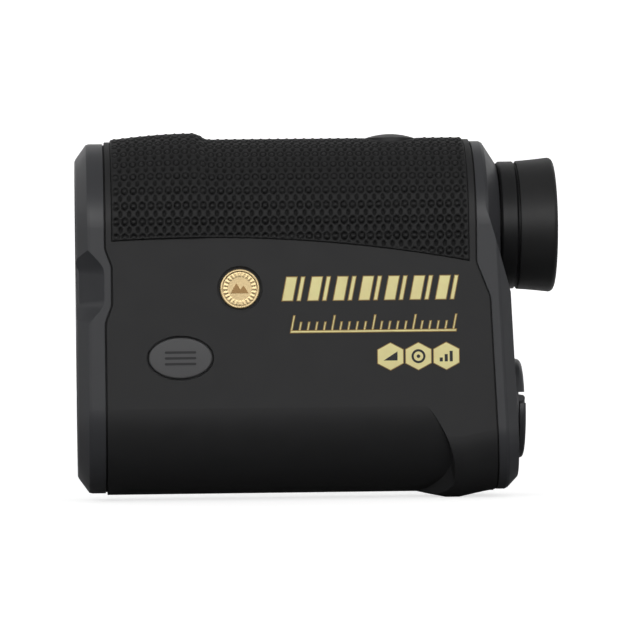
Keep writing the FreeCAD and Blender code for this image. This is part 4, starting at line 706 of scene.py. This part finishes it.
# --- eyecup ---
CUP_BORE, CUP_LIP = 12.33 * MM, 11.56 * MM
CUP_FLARE, CUP_FLARE_POWER = 0.6 * MM, 1.25
CUP_FOOT_ROUND, CUP_RIM_ROUND, CUP_LIP_ROUND = 0.25 * MM, 1.0 * MM, 0.5 * MM
CUP_LIP_DEPTH, CUP_LIP_SLANT = 2.2 * MM, 0.05 * MM


def make_eyecup():
    """The rubber cup: a flared sleeve with a rolled rim and a soft inner lip."""
    low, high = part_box("eyecup")
    outer = high.z - SIGHT_Z
    front, back = low.x, high.x
    foot = outer - CUP_FLARE
    foot_x, foot_r = front + CUP_FOOT_ROUND, foot - CUP_FOOT_ROUND
    profile = [(front, CUP_BORE), (front, foot_r)]
    profile += arc_points((foot_x, foot_r), CUP_FOOT_ROUND, 180, 92, 6)
    top_x = back - CUP_RIM_ROUND
    for t in np.linspace(0.06, 1, 22):
        profile.append((foot_x + t * (top_x - foot_x), foot + CUP_FLARE * t ** CUP_FLARE_POWER))
    profile += arc_points((top_x, outer - CUP_RIM_ROUND), CUP_RIM_ROUND, 88, 0, 12)
    profile += arc_points((back - CUP_LIP_ROUND, CUP_LIP + CUP_LIP_ROUND), CUP_LIP_ROUND, 0, -90, 7)
    profile += [(back - CUP_LIP_DEPTH, CUP_LIP), (back - CUP_LIP_DEPTH - CUP_LIP_SLANT, CUP_BORE)]
    verts, faces = revolve(profile, SIGHT_Z, 192)
    cup = add_piece("eyecup_rubber", verts, faces, "eyecup_rubber", "focus_ring", sharp=50)
    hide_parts("eyecup")


# --- stage, light and camera ---
CAMERA_DISTANCE = 1.0
CAMERA_AHEAD = 6.0 * MM  # the camera stands this far in front of the objective's end
CAMERA_ROLL = 0.65  # degrees
SENSOR = 36.0
FRAME_WIDTH = 0.128  # width of the picture at the object
FLOOR_GLOW = 0.7
FLOOR_TONE = (0.80, 0.84)
UNSEEN_TONE, UNSEEN_FROM, UNSEEN_TO = (0.14, 0.85), -0.01, 0.05  # in front of the object, and behind it
FLOOR_HALF, FLOOR_BACK, FLOOR_TOP, FLOOR_BEND = 3.0, 1.6, 2.6, 1.0


def paper():
    """White paper. Only the camera sees it bright in front of the object, so it lights little from below."""
    mat, tree, shader = nodes_of("floor_paper")
    rays = add(tree, "ShaderNodeLightPath")
    where = add(tree, "ShaderNodeSeparateXYZ")
    tree.links.new(add(tree, "ShaderNodeNewGeometry").outputs["Position"], where.inputs["Vector"])
    unseen = spread(tree, where.outputs["Y"], *UNSEEN_TONE, UNSEEN_FROM, UNSEEN_TO)
    fibres = spread(tree, noise(tree, 3.0, 2.0), *FLOOR_TONE)
    pick = add(tree, "ShaderNodeMix", data_type="FLOAT")
    tree.links.new(rays.outputs["Is Camera Ray"], pick.inputs[0])
    tree.links.new(unseen, pick.inputs[2])
    tree.links.new(fibres, pick.inputs[3])
    grey = add(tree, "ShaderNodeCombineColor")
    for channel in ("Red", "Green", "Blue"):
        tree.links.new(pick.outputs[0], grey.inputs[channel])
    tree.links.new(grey.outputs["Color"], shader.inputs["Base Color"])
    shader.inputs["Roughness"].default_value = 0.9
    shader.inputs["Specular IOR Level"].default_value = 0.1
    shader.inputs["Emission Color"].default_value = (1, 1, 1, 1)
    glow = spread(tree, rays.outputs["Is Camera Ray"], 0.0, FLOOR_GLOW, 0.0, 1.0)
    tree.links.new(glow, shader.inputs["Emission Strength"])
    return mat


def make_floor():
    """A pale sweep: a flat floor that curves up into a wall far behind."""
    bend_y = FLOOR_BACK - FLOOR_BEND
    profile = [(-FLOOR_HALF, 0.0), (bend_y, 0.0)]
    for a in np.linspace(0.1, math.pi / 2, 16):
        profile.append((bend_y + FLOOR_BEND * math.sin(a), FLOOR_BEND - FLOOR_BEND * math.cos(a)))
    profile.append((FLOOR_BACK, FLOOR_TOP))
    verts = [(x, y, z) for y, z in profile for x in (-FLOOR_HALF, FLOOR_HALF)]
    faces = [[2 * k, 2 * k + 1, 2 * k + 3, 2 * k + 2] for k in range(len(profile) - 1)]
    mesh = bpy.data.meshes.new("floor")
    mesh.from_pydata(verts, [], faces)
    mesh.shade_smooth()
    mesh.materials.append(paper())
    floor = bpy.data.objects.new("floor", mesh)
    bpy.context.scene.collection.objects.link(floor)


def lobe(tree, height, centre, width, power):
    """A soft band of light round the horizon, peaking where the direction's height is centre."""
    offset = maths(tree, "DIVIDE", maths(tree, "SUBTRACT", height, centre), width)
    falling = maths(tree, "MULTIPLY", maths(tree, "MULTIPLY", offset, offset), -1.0)
    return maths(tree, "MULTIPLY", maths(tree, "EXPONENT", falling), power)


# Light from every side, as (height of the direction, width, power). Height 0 is the horizon.
LIGHT_LOBES = ((0.27, 0.21, 2.45), (-0.09, 0.08, 1.0), (1.0, 0.5, 0.24))
LIGHT_BASE = 0.11
SIDE_SHADE = 0.3  # share of the light that comes from beyond the object's two ends
SHADE_FROM, SHADE_TO = 0.45, 0.8


def make_lights():
    world = bpy.data.worlds.new("studio")
    bpy.context.scene.world = world
    world.use_nodes = True
    tree = world.node_tree
    split = add(tree, "ShaderNodeSeparateXYZ")
    tree.links.new(add(tree, "ShaderNodeTexCoord").outputs["Generated"], split.inputs["Vector"])
    total = LIGHT_BASE
    for centre, width, power in LIGHT_LOBES:
        total = maths(tree, "ADD", lobe(tree, split.outputs["Z"], centre, width, power), total)
    ends = spread(tree, maths(tree, "ABSOLUTE", split.outputs["X"]), 1.0, SIDE_SHADE, SHADE_FROM, SHADE_TO)
    sky = tree.nodes["Background"]
    sky.inputs["Color"].default_value = (1.0, 1.0, 1.0, 1.0)
    tree.links.new(maths(tree, "MULTIPLY", total, ends), sky.inputs["Strength"])


def make_camera():
    data = bpy.data.cameras.new("camera")
    camera = bpy.data.objects.new("camera", data)
    bpy.context.scene.collection.objects.link(camera)
    bpy.context.scene.camera = camera
    low, high = cad_box
    centre = (low + high) / 2
    eye = Vector((low.x - CAMERA_AHEAD, -CAMERA_DISTANCE, centre.z))
    data.sensor_width = SENSOR
    distance = (centre - eye).length
    data.lens = data.sensor_width * distance / FRAME_WIDTH
    data.clip_start, data.clip_end = 0.01, 20.0
    camera.location = eye
    camera.rotation_mode = "QUATERNION"
    look = (centre - eye).to_track_quat("-Z", "Y")
    camera.rotation_quaternion = look @ Quaternion((0, 0, 1), math.radians(-CAMERA_ROLL))


bpy.context.scene.view_settings.view_transform = "Standard"
dress_cad_nodes()
make_grip()
make_print()
make_badge()
make_mode_sign()
make_eyecup()
make_floor()
make_lights()
make_camera()
